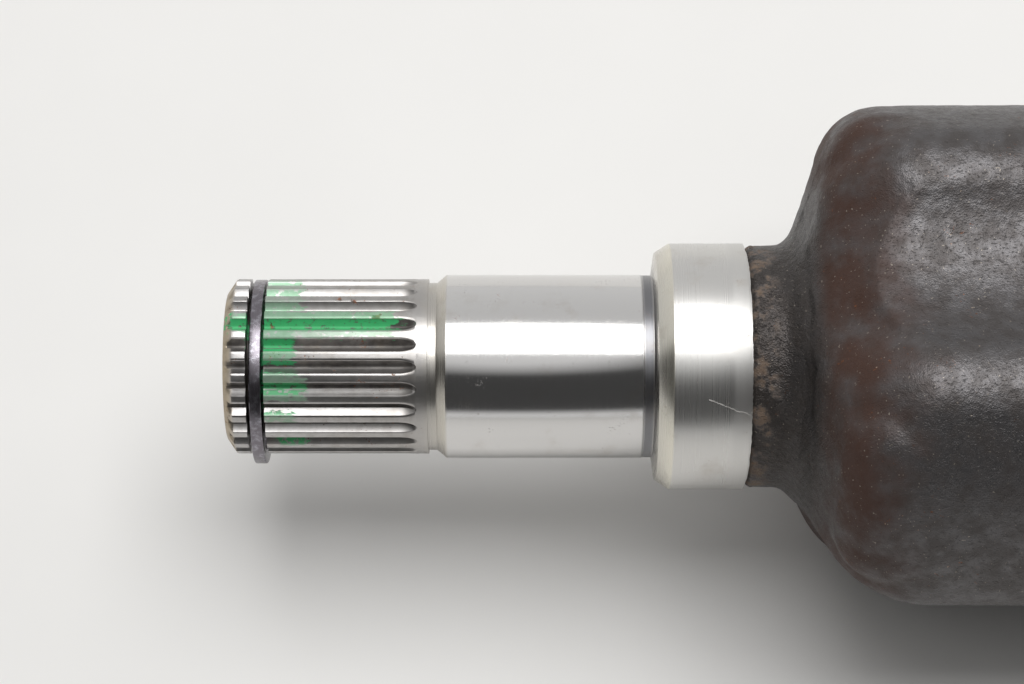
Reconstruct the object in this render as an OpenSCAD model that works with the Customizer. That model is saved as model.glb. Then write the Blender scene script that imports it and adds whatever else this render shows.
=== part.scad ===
// Half shaft of a front-wheel-drive car: a plunging tripod joint at the gearbox end and a
// caged ball joint at the wheel end, with their boots, lying level along X.
// The gearbox stub points to -X. The origin is on the axis, in the middle of the ground
// collar that the gearbox oil seal runs on. Each piece is drawn along its own Z axis,
// and along_x() lays it along X, so a lobe drawn towards +X points down.

/* [Gearbox stub] */
// Diameter over the teeth of the gearbox spline
stub_spline_d = 28.4; // [27.6:0.1:29.4]
// Number of teeth on the gearbox spline
stub_teeth = 25; // [20:1:28]
// Depth of the gearbox spline's grooves
stub_groove_depth = 1.3; // [0.9:0.1:1.5]
// Width of a gearbox spline groove at the tooth tips
stub_groove_w = 2.4; // [2:0.1:2.7]
// Length of the gearbox spline, from the tip to the ends of its grooves
stub_spline_len = 30.8; // [26:0.1:40]
// Radius of the curve on which the grooves end
run_out_r = 3; // [2.8:0.1:6]
// Plain land between the groove ends and the undercut
stub_land_len = 1.7; // [1:0.1:4]
// Width of the undercut between the spline and the journal
undercut_len = 1.4; // [1:0.1:3]
// Diameter of the undercut
undercut_d = 27.2; // [26.2:0.1:27.5]
// Length of the cone that leads up to the journal
lead_len = 1.5; // [0.8:0.1:4]
// Diameter of the face at the tip
tip_d = 24; // [20:0.5:26]
// Length of the chamfer at the tip
tip_chamfer_len = 1.5; // [1:0.1:2.5]
// Distance from the tip to the snap ring's groove
ring_groove_at = 3.7; // [3:0.1:8]
// Width of the snap ring's groove
ring_groove_w = 2.9; // [2.7:0.1:3.5]
// Diameter at the bottom of the snap ring's groove
ring_groove_d = 21.4; // [20:0.1:22]
// Outer diameter of the snap ring
stub_ring_d = 30; // [29.4:0.1:31]
// Axial width of the snap ring
stub_ring_w = 2; // [2:0.1:2.5]
// Radial thickness of the snap ring
stub_ring_t = 2.2; // [1.8:0.1:2.6]

/* [Journal and seal collar] */
// Diameter of the bearing journal
journal_d = 29.8; // [29.5:0.1:32]
// Length of the ground part of the journal
journal_len = 31.5; // [20:0.5:45]
// Width of the dull band at the foot of the journal
root_band_len = 1.7; // [1:0.1:3]
// How far the dull band lies below the journal
root_band_drop = 0.1; // [0.05:0.05:0.3]
// Diameter of the seal collar
collar_d = 40; // [37:0.5:44]
// Length of the ground wall of the seal collar
collar_len = 12; // [8:0.5:20]
// Length of the bevel before the ground wall
collar_bevel_len = 2.3; // [1:0.1:4]
// Radial height of that bevel
collar_bevel_h = 1.5; // [0.8:0.1:2.5]
// How far the collar's face leans in towards the journal
collar_face_lean = 0.5; // [0.2:0.1:1.5]

/* [Forged housing] */
// Width of the relief cut between the collar and the neck
relief_len = 1.2; // [0.8:0.1:2]
// Depth of that relief below the neck
relief_depth = 0.6; // [0.5:0.1:1]
// Diameter of the rough neck behind the collar
neck_d = 39.6; // [36:0.2:39.8]
// Length of the neck
neck_len = 6; // [3:0.5:20]
// Slope of the web between the lobes, from the axis
web_deg = 45; // [40:1:55]
// Lean of the lobes' end wall, from upright
nose_lean_deg = 18.4; // [12:0.2:24]
// Radius of the rounding at the lobes' ends
nose_round = 10; // [9:0.5:12]
// Distance from the foot of the web to the centre of that rounding
nose_centre_at = 16; // [15:0.5:18]
// Half angle over which each lobe's end wall stays full
nose_half_deg = 14; // [10:0.5:16]
// Overlap between a lobe's end wall and its rounded sides
nose_lap_deg = 4; // [3:0.5:6]
// Radius of the lobes' rounded corners
lobe_round = 12; // [9:0.5:13]
// Wall outside each roller track
lobe_wall = 6.02; // [5.4:0.01:8]
// Wall beside each roller track
lobe_side_wall = 6.7; // [5:0.1:8]
// Wall at the valleys between the lobes
valley_wall = 7; // [5:0.1:8]
// Thickness from the foot of the web to the floor of the tracks
floor_at = 22; // [21:0.5:30]
// Length of the roller tracks, from their floor to the mouth
track_len = 72; // [70:1:90]
// Chamfer at the mouth
mouth_chamfer = 2.5; // [1:0.1:3]
// Length of the seat turned for the boot, at the mouth
boot_seat_len = 17; // [14:0.5:20]

/* [Tripod] */
// Distance from the floor of the tracks to the spider's centre
spider_at = 36; // [35.5:0.5:42]
// Radius at which the rollers run
roller_pitch_r = 25.4; // [25:0.1:27]
// Diameter of the rollers' spherical face
roller_d = 33; // [31:0.2:33.6]
// Width of a roller along its trunnion
roller_w = 14; // [13.4:0.2:14.4]
// Clearance between a roller and its track
track_play = 1; // [1:0.1:1.4]
// Diameter of the spider's trunnions
trunnion_d = 18; // [15:0.2:18.6]
// How far a trunnion stands out past its roller
trunnion_proud = 0.8; // [0.4:0.1:1.2]
// Clearance between a roller's corners and the top of its track
track_top_play = 0.8; // [0.6:0.1:1.5]
// Diameter of the needle rollers
needle_d = 2.4; // [2:0.1:2.6]
// Length of the needle rollers
needle_len = 11; // [9:0.5:11]
// Running clearance on each side of the needles
needle_play = 0.04; // [0.03:0.01:0.08]
// Thickness of the rings that keep the rollers on
trunnion_ring_w = 1.5; // [1:0.1:1.8]
// Depth of the grooves that those rings sit in
trunnion_groove_depth = 0.9; // [0.6:0.1:1.2]
// Outer diameter of the spider's hub
hub_d = 36; // [32:0.2:36.2]
// Length of the spider's hub
hub_len = 22; // [20:0.5:26]
// Deepest plunge of the spider from rest
plunge_in = 12; // [6:0.5:12]
// Steepest angle of the inner joint
inner_tilt_deg = 16; // [8:1:16]

/* [Bar] */
// Distance between the centres of the two joints
bar_span = 300; // [280:1:480]
// Diameter of the bar between the boots
bar_d = 24; // [23:0.2:27]
// Diameter of the bar's necks next to the joints
bar_neck_d = 21.6; // [20:0.2:21.6]
// Diameter over the teeth at the bar's two ends
bar_spline_d = 23.8; // [23.4:0.1:24.4]
// Number of teeth at each end of the bar
bar_teeth = 24; // [18:1:26]
// Depth of the bar's spline grooves
bar_groove_depth = 1; // [0.8:0.1:1.1]
// Width of a bar spline groove at the tooth tips
bar_groove_w = 1.9; // [1.6:0.1:2]
// Clearance in the bar's splines
spline_play = 0.05; // [0.03:0.01:0.1]
// Thickness of the circlips on the bar
circlip_w = 1.5; // [1.2:0.1:2]
// Radial thickness of the circlips on the bar
circlip_t = 2.6; // [2:0.1:3]
// Bar left past the circlips at each end
bar_tail = 1.8; // [1.4:0.1:3]
// Height of the ridges that locate the boots
ridge_h = 0.6; // [0.4:0.1:1]
// Width of those ridges
ridge_w = 1.6; // [1:0.1:3]

/* [Ball joint] */
// Diameter of the balls
ball_d = 15.9; // [14:0.1:16]
// Radius at which the balls run
ball_pitch_r = 28; // [27.5:0.1:30]
// Clearance between a ball and its grooves
groove_play = 1; // [0.95:0.05:1.2]
// Clearance between a ball and its window
window_play = 0.1; // [0.05:0.05:0.2]
// Extra length of a window along the cage
window_extra = 4; // [3:0.5:5]
// Thickness of the cage
cage_t = 5.4; // [4:0.1:6]
// How far the middle of the cage's wall lies inside the ball centres
cage_inset = 0.6; // [0:0.1:1]
// Width of the cage
cage_w = 27; // [24:0.5:29]
// Clearance between the cage and the spheres on either side of it
cage_play = 0.3; // [0.3:0.05:0.5]
// Width of the inner race
race_w = 23; // [20:0.5:24]
// Wall of the bell outside the ball grooves
bell_wall = 5.55; // [5:0.05:7]
// Distance from the joint's centre to the bell's rim
rim_at = 19; // [17:0.5:19.5]
// Length of the seat turned for the boot, at the bell's rim
bell_seat_len = 15; // [13:0.5:16]
// Steepest angle of the ball joint
outer_tilt_deg = 40; // [30:1:40]
// Distance from the joint's centre back to the end of the bell's barrel
barrel_at = 14; // [12:0.5:20]
// Distance from the joint's centre to the hub shoulder
shoulder_at = 40; // [38:0.5:50]
// Diameter of the hub shoulder
shoulder_d = 46; // [42:0.5:52]
// Height of the rim of the hub shoulder
shoulder_len = 5; // [3:0.5:8]

/* [Wheel stub] */
// Diameter over the teeth of the wheel spline
wheel_spline_d = 26; // [25:0.1:28]
// Number of teeth on the wheel spline
wheel_teeth = 26; // [20:1:28]
// Depth of the wheel spline's grooves
wheel_groove_depth = 1; // [0.8:0.1:1.2]
// Width of a wheel spline groove at the tooth tips
wheel_groove_w = 2; // [1.7:0.1:2.2]
// Length of the wheel spline
wheel_spline_len = 42; // [30:0.5:55]
// Width of the undercut at the hub shoulder
wheel_undercut_len = 3; // [2:0.5:6]
// Diameter of the threaded end
thread_d = 22; // [20:0.5:24]
// Length of the threaded end
thread_len = 24; // [16:0.5:32]
// Chamfer at the end of the thread
thread_chamfer = 1.5; // [1:0.1:2.5]
// Diameter of the lathe centres in the two ends
centre_d = 8; // [6:0.5:10]

/* [Boots and clamps] */
// Wall of the boots' end collars
boot_collar_wall = 2.5; // [2:0.1:2.8]
// Wall of the bellows, across the axis
bellows_wall = 2.2; // [1.8:0.1:3]
// Swell of the bellows: 1 is a straight cone, more is fuller
bellows_swell = 1.7; // [1:0.1:2]
// Length of the inner boot's bellows
inner_bellows_len = 78; // [70:1:95]
// Folds of the inner boot
inner_folds = 5; // [4:1:6]
// Length of the outer boot's bellows
outer_bellows_len = 68; // [60:1:80]
// Folds of the outer boot
outer_folds = 4; // [3:1:5]
// Half depth of the inner boot's folds at its large end
inner_fold = 4.4; // [3:0.1:5]
// Half depth of the outer boot's folds at its large end
outer_fold = 3; // [2.4:0.1:4]
// Half depth of the folds at the boots' small ends
small_fold = 3; // [2:0.1:3.6]
// Length of the boots' small collars
small_collar_len = 12; // [10:0.5:15]
// Clearance between a boot and its seats
boot_play = 0.05; // [0.02:0.01:0.1]
// Width of the large clamps
large_band_w = 9; // [6:0.5:11]
// Width of the small clamps
small_band_w = 7; // [5:0.5:9]
// Thickness of the clamp bands
band_t = 1; // [0.8:0.05:1.2]
// Height of the large clamps' crimped ears
large_ear_h = 4.3; // [3:0.1:6]
// Height of the small clamps' crimped ears
small_ear_h = 3.4; // [2.5:0.1:5]
// Width of a crimped ear at its top
ear_w = 7; // [5:0.5:10]
// Clearance between a clamp and its boot
band_play = 0.05; // [0.02:0.01:0.1]

/* [Hidden] */
$fn = 72;

// How far a cutting shape runs past the face it opens
over = 1;
// Width of a spline groove at its root, as a share of its width at the tips
root_share = 0.4;
// Gaps of the split rings and circlips
stub_ring_gap_deg = 14;
trunnion_ring_gap_deg = 30;
circlip_gap_deg = 40;
// Angles from straight down at which the small clamps' ears stand
inner_small_ear_deg = 150;
outer_small_ear_deg = 210;
// Clearance for the bar where it swings in the mouths of the joints
bar_room = 0.8;
// Finishes, as they look at a glance
steel = "#b4b2ac";
bright_steel = "#cfcdc8";
forged = "#4a423d";
rubber = "#232326";
spring_steel = "#5c5a57";

// Stations along the axis, from the seal collar towards the gearbox
collar_front = -collar_len / 2;
collar_back = collar_len / 2;
face_edge = collar_front - collar_bevel_len;
face_root = face_edge - collar_face_lean;
journal_back = face_root - root_band_len;
journal_front = journal_back - journal_len;
lead_front = journal_front - lead_len;
undercut_front = lead_front - undercut_len;
spline_end = undercut_front - stub_land_len;
stub_tip = spline_end - stub_spline_len;
stub_r = stub_spline_d / 2;
ring_groove_front = stub_tip + ring_groove_at;
ring_hang = stub_ring_d / 2 - stub_ring_t - ring_groove_d / 2 - spline_play;

// Tripod sizes
trunnion_r = trunnion_d / 2;
needle_pitch_r = trunnion_r + needle_play + needle_d / 2;
roller_bore_r = trunnion_r + needle_d + 2 * needle_play;
needle_count = floor(180 / asin((needle_d / 2 + needle_play) / needle_pitch_r));
roller_face_at = roller_pitch_r + roller_w / 2;
roller_face_r = sqrt(pow(roller_d / 2, 2) - pow(roller_w / 2, 2));
trunnion_end = roller_face_at + trunnion_proud;
trunnion_ring_at = roller_pitch_r + needle_len / 2 + needle_play;
trunnion_groove_r = trunnion_r - trunnion_groove_depth;
track_r = roller_d / 2 + track_play;
track_top = norm([roller_face_at, roller_face_r]) + track_top_play;

// Stations along the axis, from the seal collar towards the wheel
web_foot = collar_back + neck_len;
nose_centre = web_foot + nose_centre_at;
track_floor = web_foot + floor_at;
mouth = track_floor + track_len;
spider_z = track_floor + spider_at;
joint_z = spider_z + bar_span;
rim_z = joint_z - rim_at;
shoulder_z = joint_z + shoulder_at;
wheel_spline_end = shoulder_z + wheel_spline_len;
wheel_tip = wheel_spline_end + thread_len;

// Section of the housing: room for the bar to swing, then the walls round the tracks
swing_len = mouth - mouth_chamfer - spider_z + plunge_in;
bore_r = swing_len * tan(inner_tilt_deg) + bar_neck_d / 2 / cos(inner_tilt_deg) + bar_room;
lobe_r = track_top + lobe_wall;
lobe_half_w = track_r + lobe_side_wall;
lobe_corner_at = lobe_r - lobe_round;
lobe_corner_deg = asin((lobe_half_w - lobe_round) / lobe_corner_at);
valley_r = bore_r + valley_wall;
corner_along_valley = lobe_corner_at * cos(60 - lobe_corner_deg);
trough_r = (valley_r * valley_r + lobe_corner_at * lobe_corner_at
    - 2 * corner_along_valley * valley_r - lobe_round * lobe_round)
    / (2 * (corner_along_valley + lobe_round - valley_r));
trough_at = valley_r + trough_r;
neck_r = neck_d / 2;
relief_r = neck_r - relief_depth;
// The rounded ends of the lobes start just below the crest
crest_step = 0.1;
nose_at = lobe_r - nose_round - crest_step;
nose_buried = nose_centre + nose_round;

// Bore of the circlips, just clear of the bottom of their grooves
circlip_in_r = bar_spline_d / 2 - bar_groove_depth - spline_play;

// Boot seats and clamps
boot_seat_r = lobe_r - band_t - band_play - boot_collar_wall;
bell_groove_r = ball_d / 2 + groove_play;
bell_r = ball_pitch_r + bell_groove_r + bell_wall;
bell_seat_r = bell_r - band_t - band_play - boot_collar_wall;
inner_small_z = mouth + inner_bellows_len;
outer_small_z = rim_z - outer_bellows_len;
small_collar_r = bar_d / 2 + boot_play + boot_collar_wall;

// Ball joint spheres, from the inside out
cage_mid_r = ball_pitch_r - cage_inset;
cage_in_r = cage_mid_r - cage_t / 2;
cage_out_r = cage_mid_r + cage_t / 2;
race_r = cage_in_r - cage_play;
bell_bore_r = cage_out_r + cage_play;

// Lays a piece drawn along Z along the X axis
module along_x() rotate([0, 90, 0]) children();

// Repeats a piece three times round the axis
module thrice() for (turn = [0:120:240]) rotate(turn) children();

// Outline of a spline groove, wider towards the tooth tips
module groove_outline(tip_r, depth, width) {
    root_w = width * root_share;
    top_w = width + (width - root_w) * over / depth;
    polygon([
        [tip_r - depth, -root_w / 2], [tip_r + over, -top_w / 2],
        [tip_r + over, top_w / 2], [tip_r - depth, root_w / 2]
    ]);
}

// Straight grooves round a shaft, from one station to another
module spline_grooves(teeth, tip_r, depth, width, from, to)
    for (i = [0:teeth - 1])
        rotate((i + 0.5) * 360 / teeth)
            translate([0, 0, from])
                linear_extrude(to - from) groove_outline(tip_r, depth, width);

// Round ends of the grooves, where the tool rose out of the shaft
module spline_run_outs(teeth, tip_r, depth, width, at) {
    root_w = width * root_share;
    top_w = width + (width - root_w) * over / depth;
    sweep_deg = acos((run_out_r - depth - over) / run_out_r);
    for (i = [0:teeth - 1])
        rotate((i + 0.5) * 360 / teeth)
            translate([tip_r - depth + run_out_r, 0, at])
                rotate([90, 0, 180])
                    rotate_extrude(angle = sweep_deg)
                        polygon([
                            [run_out_r - depth - over, -top_w / 2], [run_out_r, -root_w / 2],
                            [run_out_r, root_w / 2], [run_out_r - depth - over, top_w / 2]
                        ]);
}

// Hole that takes a splined shaft
module spline_hole_outline(teeth, tip_r, depth, width)
    difference() {
        circle(tip_r + spline_play);
        for (i = [0:teeth - 1])
            rotate((i + 0.5) * 360 / teeth)
                translate([spline_play, 0])
                    groove_outline(tip_r, depth, width - 3 * spline_play);
    }

// Lathe centre, opening towards -Z
module lathe_centre() cylinder(h = centre_d * 0.866, d1 = centre_d, d2 = 0);

// Split ring that opens by gap_deg at the given angle
module split_ring(in_r, out_r, width, gap_deg, gap_at)
    rotate(gap_at + gap_deg / 2)
        rotate_extrude(angle = 360 - gap_deg)
            translate([in_r, 0]) square([out_r - in_r, width]);

// Section of the housing: three lobes with round corners and smooth valleys, grown by c
module trefoil(c) {
    corner = lobe_corner_at * [cos(lobe_corner_deg), sin(lobe_corner_deg)];
    trough = trough_at * [cos(60), sin(60)];
    next_corner = lobe_corner_at * [cos(120 - lobe_corner_deg), sin(120 - lobe_corner_deg)];
    reach = 2 * lobe_r;
    // The arcs overlap by this much where they meet
    blend = 0.02;
    difference() {
        union() {
            circle(min(lobe_corner_at, valley_r));
            thrice() {
                intersection() {
                    circle(lobe_r + c);
                    polygon([[0, 0], reach * [corner.x, -corner.y], reach * corner]);
                }
                translate(corner) circle(lobe_round + c + blend);
                translate([corner.x, -corner.y]) circle(lobe_round + c + blend);
                polygon([[0, 0], corner, trough, next_corner]);
            }
        }
        thrice() translate(trough) circle(trough_r - c + blend);
    }
}

// Quarter turn of a lobe's rounded end, and the wall that runs down from it to the neck
module nose_profile() {
    centre = [nose_at, nose_centre];
    out = [sin(nose_lean_deg), -cos(nose_lean_deg)];
    wall_top = centre + nose_round * out;
    wall_foot = wall_top.y - (wall_top.x - neck_r) * tan(nose_lean_deg);
    polygon([
        [0, wall_foot], [neck_r, wall_foot], wall_top, centre,
        [nose_at + nose_round, nose_centre], [nose_at + nose_round, nose_buried], [0, nose_buried]
    ]);
    intersection() {
        translate(centre) circle(nose_round);
        polygon([
            centre, centre + 2 * nose_round * out, centre + 2 * nose_round * [1, -1],
            centre + 2 * nose_round * [1, 0]
        ]);
    }
}

// Round-ended post that closes one side of a lobe's end
module nose_side()
    translate([nose_at, 0, 0])
        rotate_extrude() {
            intersection() {
                translate([0, nose_centre]) circle(nose_round);
                translate([0, nose_centre - nose_round]) square(nose_round);
            }
            translate([0, nose_centre]) square([nose_round, nose_buried - nose_centre]);
        }

// Rounded end of one lobe
module lobe_nose() {
    wall_half_deg = nose_half_deg - nose_lap_deg;
    rotate(-wall_half_deg) rotate_extrude(angle = 2 * wall_half_deg) nose_profile();
    rotate(nose_half_deg) nose_side();
    rotate(-nose_half_deg) nose_side();
}

// Section of the hollow: the passage for the bar and the three roller tracks
module hollow_outline() {
    circle(bore_r);
    thrice()
        intersection() {
            translate([roller_pitch_r, 0]) circle(track_r);
            circle(track_top);
        }
}

// Turned stub, journal, collar and neck as one revolve
module stub_body()
    rotate_extrude()
        polygon([
            [0, stub_tip], [tip_d / 2, stub_tip], [stub_r, stub_tip + tip_chamfer_len],
            [stub_r, undercut_front], [undercut_d / 2, undercut_front],
            [undercut_d / 2, lead_front], [journal_d / 2, journal_front],
            [journal_d / 2, journal_back], [journal_d / 2 - root_band_drop, journal_back],
            [journal_d / 2 - root_band_drop, face_root],
            [collar_d / 2 - collar_bevel_h, face_edge], [collar_d / 2, collar_front],
            [collar_d / 2, collar_back], [relief_r, collar_back],
            [relief_r, collar_back + relief_len], [neck_r, collar_back + relief_len],
            [neck_r, web_foot + over],
            [0, web_foot + over]
        ]);

// Forged outside of the tripod housing
module forged_body() {
    web_end = lobe_r + over;
    intersection() {
        translate([0, 0, web_foot]) linear_extrude(mouth - web_foot) trefoil(0);
        rotate_extrude()
            polygon([
                [0, web_foot], [neck_r, web_foot],
                [web_end, web_foot + (web_end - neck_r) / tan(web_deg)],
                [web_end, mouth + over], [0, mouth + over]
            ]);
    }
    thrice() lobe_nose();
}

module inner_joint_housing() {
    run_out_len = sqrt(2 * run_out_r * stub_groove_depth - pow(stub_groove_depth, 2));
    run_out_at = spline_end - run_out_len;
    color(forged)
        along_x()
            difference() {
                union() {
                    stub_body();
                    forged_body();
                }
                spline_grooves(stub_teeth, stub_r, stub_groove_depth, stub_groove_w,
                    stub_tip - over, run_out_at);
                spline_run_outs(stub_teeth, stub_r, stub_groove_depth, stub_groove_w, run_out_at);
                rotate_extrude()
                    translate([ring_groove_d / 2, ring_groove_front])
                        square([stub_r, ring_groove_w]);
                translate([0, 0, stub_tip]) lathe_centre();
                translate([0, 0, track_floor])
                    linear_extrude(track_len + over) hollow_outline();
                translate([0, 0, mouth - mouth_chamfer])
                    cylinder(h = mouth_chamfer + over, r1 = bore_r, r2 = bore_r + mouth_chamfer + over);
                rotate_extrude()
                    translate([boot_seat_r, mouth - boot_seat_len])
                        square([lobe_r, boot_seat_len + over]);
            }
}

// Loose snap ring, hanging in its groove with its gap underneath
module stub_snap_ring()
    color(spring_steel)
        along_x()
            translate([ring_hang, 0, ring_groove_front + (ring_groove_w - stub_ring_w) / 2])
                split_ring(stub_ring_d / 2 - stub_ring_t, stub_ring_d / 2, stub_ring_w,
                    stub_ring_gap_deg, 0);

// Places a piece drawn along Z on one trunnion, with Z pointing out along it
module on_trunnion(i)
    along_x() translate([0, 0, spider_z]) rotate((i - 1) * 120) rotate([0, 90, 0]) children();

module tripod_spider()
    color(steel)
        difference() {
            union() {
                along_x() translate([0, 0, spider_z - hub_len / 2]) cylinder(h = hub_len, d = hub_d);
                for (i = [1:3]) on_trunnion(i) cylinder(h = trunnion_end, r = trunnion_r);
            }
            along_x()
                translate([0, 0, spider_z - hub_len / 2 - over])
                    linear_extrude(hub_len + 2 * over)
                        spline_hole_outline(bar_teeth, bar_spline_d / 2, bar_groove_depth, bar_groove_w);
            for (i = [1:3])
                on_trunnion(i)
                    rotate_extrude()
                        translate([trunnion_groove_r, trunnion_ring_at])
                            square([trunnion_r, trunnion_ring_w + 2 * needle_play]);
        }

// Roller with a spherical running face and a plain bore for its needles
module roller(i)
    color(bright_steel)
        on_trunnion(i)
            translate([0, 0, roller_pitch_r])
                difference() {
                    intersection() {
                        sphere(d = roller_d);
                        cube([roller_d, roller_d, roller_w], center = true);
                    }
                    cylinder(h = roller_w + 2 * over, r = roller_bore_r, center = true);
                }

module needle_set(i)
    color(bright_steel)
        on_trunnion(i)
            for (n = [0:needle_count - 1])
                rotate(n * 360 / needle_count)
                    translate([needle_pitch_r, 0, roller_pitch_r - needle_len / 2])
                        cylinder(h = needle_len, d = needle_d);

module trunnion_ring(i)
    color(spring_steel)
        on_trunnion(i)
            translate([0, 0, trunnion_ring_at + needle_play])
                split_ring(trunnion_groove_r + needle_play, needle_pitch_r + needle_d / 3,
                    trunnion_ring_w, trunnion_ring_gap_deg, 90);

// Circlip in its groove on the bar, from a station along the axis
module bar_circlip(at)
    color(spring_steel)
        along_x()
            translate([0, 0, at])
                split_ring(circlip_in_r, circlip_in_r + circlip_t, circlip_w, circlip_gap_deg, 180);

// Stations of the four circlip faces, hard by the hub and the race
function circlip_stations() = [
    spider_z - hub_len / 2 - circlip_w - spline_play, spider_z + hub_len / 2 + spline_play,
    joint_z - race_w / 2 - circlip_w - spline_play, joint_z + race_w / 2 + spline_play
];

module axle_bar() {
    tip_r = bar_spline_d / 2;
    bar_neck_r = bar_neck_d / 2;
    bar_r = bar_d / 2;
    first = circlip_stations()[0] - bar_tail;
    last = circlip_stations()[3] + circlip_w + bar_tail;
    spider_teeth_end = circlip_stations()[1] + circlip_w + bar_tail;
    race_teeth_end = circlip_stations()[2] - bar_tail;
    // The necks swell to the bar's own diameter over this length, before each boot's seat
    taper_len = 14;
    inner_seat_front = inner_small_z - ridge_w;
    inner_seat_back = inner_small_z + small_collar_len + ridge_w;
    outer_seat_front = outer_small_z - small_collar_len - ridge_w;
    outer_seat_back = outer_small_z + ridge_w;
    color(steel)
        along_x()
            difference() {
                rotate_extrude()
                    polygon([
                        [0, first], [tip_r - over, first], [tip_r, first + over],
                        [tip_r, spider_teeth_end], [bar_neck_r, spider_teeth_end],
                        [bar_neck_r, inner_seat_front - taper_len], [bar_r, inner_seat_front],
                        [bar_r + ridge_h, inner_seat_front], [bar_r + ridge_h, inner_small_z],
                        [bar_r, inner_small_z], [bar_r, inner_seat_back - ridge_w],
                        [bar_r + ridge_h, inner_seat_back - ridge_w], [bar_r + ridge_h, inner_seat_back],
                        [bar_r, inner_seat_back], [bar_r, outer_seat_front],
                        [bar_r + ridge_h, outer_seat_front], [bar_r + ridge_h, outer_seat_front + ridge_w],
                        [bar_r, outer_seat_front + ridge_w], [bar_r, outer_small_z],
                        [bar_r + ridge_h, outer_small_z], [bar_r + ridge_h, outer_seat_back],
                        [bar_r, outer_seat_back], [bar_neck_r, outer_seat_back + taper_len],
                        [bar_neck_r, race_teeth_end], [tip_r, race_teeth_end],
                        [tip_r, last - over], [tip_r - over, last], [0, last]
                    ]);
                spline_grooves(bar_teeth, tip_r, bar_groove_depth, bar_groove_w,
                    first - over, spider_teeth_end + over);
                spline_grooves(bar_teeth, tip_r, bar_groove_depth, bar_groove_w,
                    race_teeth_end - over, last + over);
                for (at = circlip_stations())
                    rotate_extrude()
                        translate([circlip_in_r - spline_play, at - spline_play])
                            square([tip_r, circlip_w + 2 * spline_play]);
            }
}

// Radius of a bellows at a share t of its length: a cosine wave on a full taper
function bellows_r(t, large_r, small_r, folds, large_fold) =
    let (large_mid = large_r - large_fold, small_mid = small_r + ridge_h + small_fold)
    large_mid + (small_mid - large_mid) * pow(t, bellows_swell)
    + (large_fold + (small_fold - large_fold) * t) * cos(360 * (folds + 0.5) * t);

// Wall of a bellows, from its large end at z = 0 to its small end at z = len
module bellows(len, large_r, small_r, folds, large_fold) {
    steps = 12 * folds;
    outside = [
        for (i = [0:steps])
            [bellows_r(i / steps, large_r, small_r, folds, large_fold), len * i / steps]
    ];
    inside = [for (i = [steps:-1:0]) outside[i] - [bellows_wall, 0]];
    rotate_extrude() polygon(concat(outside, inside));
}

// Small collar of a boot, starting at z = 0
module small_collar()
    rotate_extrude()
        translate([bar_d / 2 + boot_play, 0]) square([boot_collar_wall, small_collar_len]);

// Boot of the tripod joint: its large collar is lobed inside, to fit the housing
module inner_boot() {
    collar_r = boot_seat_r + boot_collar_wall;
    collar_front_z = mouth - boot_seat_len + boot_play;
    color(rubber)
        along_x() {
            translate([0, 0, collar_front_z])
                linear_extrude(mouth + boot_play - collar_front_z)
                    difference() {
                        circle(collar_r);
                        intersection() {
                            trefoil(boot_play);
                            circle(boot_seat_r + boot_play);
                        }
                    }
            translate([0, 0, mouth + boot_play])
                bellows(inner_bellows_len - boot_play, collar_r, small_collar_r, inner_folds, inner_fold);
            translate([0, 0, inner_small_z]) small_collar();
        }
}

// Boot of the ball joint: it turns about, with its large end towards the wheel
module outer_boot() {
    collar_r = bell_seat_r + boot_collar_wall;
    seated_len = bell_seat_len - boot_play;
    color(rubber)
        along_x()
            translate([0, 0, rim_z])
                mirror([0, 0, 1]) {
                    translate([0, 0, -seated_len])
                        rotate_extrude()
                            translate([bell_seat_r + boot_play, 0])
                                square([boot_collar_wall - boot_play, seated_len + boot_play]);
                    translate([0, 0, boot_play])
                        bellows(outer_bellows_len - boot_play, collar_r, small_collar_r, outer_folds, outer_fold);
                    translate([0, 0, outer_bellows_len]) small_collar();
                }
}

// Steel band with a crimped ear, centred on z = 0
module ear_clamp(in_r, width, ear_h, ear_at) {
    foot_w = ear_w + 2 * band_t;
    color(steel)
        translate([0, 0, -width / 2])
            linear_extrude(width) {
                difference() {
                    circle(in_r + band_t);
                    circle(in_r);
                }
                rotate(ear_at)
                    difference() {
                        polygon([
                            [in_r + band_t / 2, -foot_w / 2], [in_r + band_t + ear_h, -ear_w / 2],
                            [in_r + band_t + ear_h, ear_w / 2], [in_r + band_t / 2, foot_w / 2]
                        ]);
                        polygon([
                            [in_r, -foot_w / 2 + band_t], [in_r + ear_h, -ear_w / 2 + band_t],
                            [in_r + ear_h, ear_w / 2 - band_t], [in_r, foot_w / 2 - band_t]
                        ]);
                        circle(in_r + band_t / 2);
                    }
            }
}

// Angle from straight down at which a clamp's ear just touches the ground
function chock_deg(band_r, ear_h) =
    let (corner_r = norm([band_r + ear_h, ear_w / 2]))
    acos(band_r / corner_r) + asin(ear_w / 2 / corner_r);

module inner_boot_large_clamp()
    along_x()
        translate([0, 0, mouth - boot_seat_len / 2])
            ear_clamp(lobe_r - band_t, large_band_w, large_ear_h, chock_deg(lobe_r, large_ear_h));

module outer_boot_large_clamp()
    along_x()
        translate([0, 0, rim_z + bell_seat_len / 2])
            ear_clamp(bell_r - band_t, large_band_w, large_ear_h, -chock_deg(bell_r, large_ear_h));

module inner_boot_small_clamp()
    along_x()
        translate([0, 0, inner_small_z + small_collar_len / 2])
            ear_clamp(small_collar_r + band_play, small_band_w, small_ear_h, inner_small_ear_deg);

module outer_boot_small_clamp()
    along_x()
        translate([0, 0, outer_small_z - small_collar_len / 2])
            ear_clamp(small_collar_r + band_play, small_band_w, small_ear_h, outer_small_ear_deg);

// Places a piece on the centre of the ball joint, with its Z along the shaft
module on_ball_joint() along_x() translate([0, 0, joint_z]) children();

// Grooves that the balls run in, one ring for each opposite pair of balls
module ball_grooves()
    thrice()
        rotate([90, 0, 0])
            rotate_extrude() translate([ball_pitch_r, 0]) circle(bell_groove_r);

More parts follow.
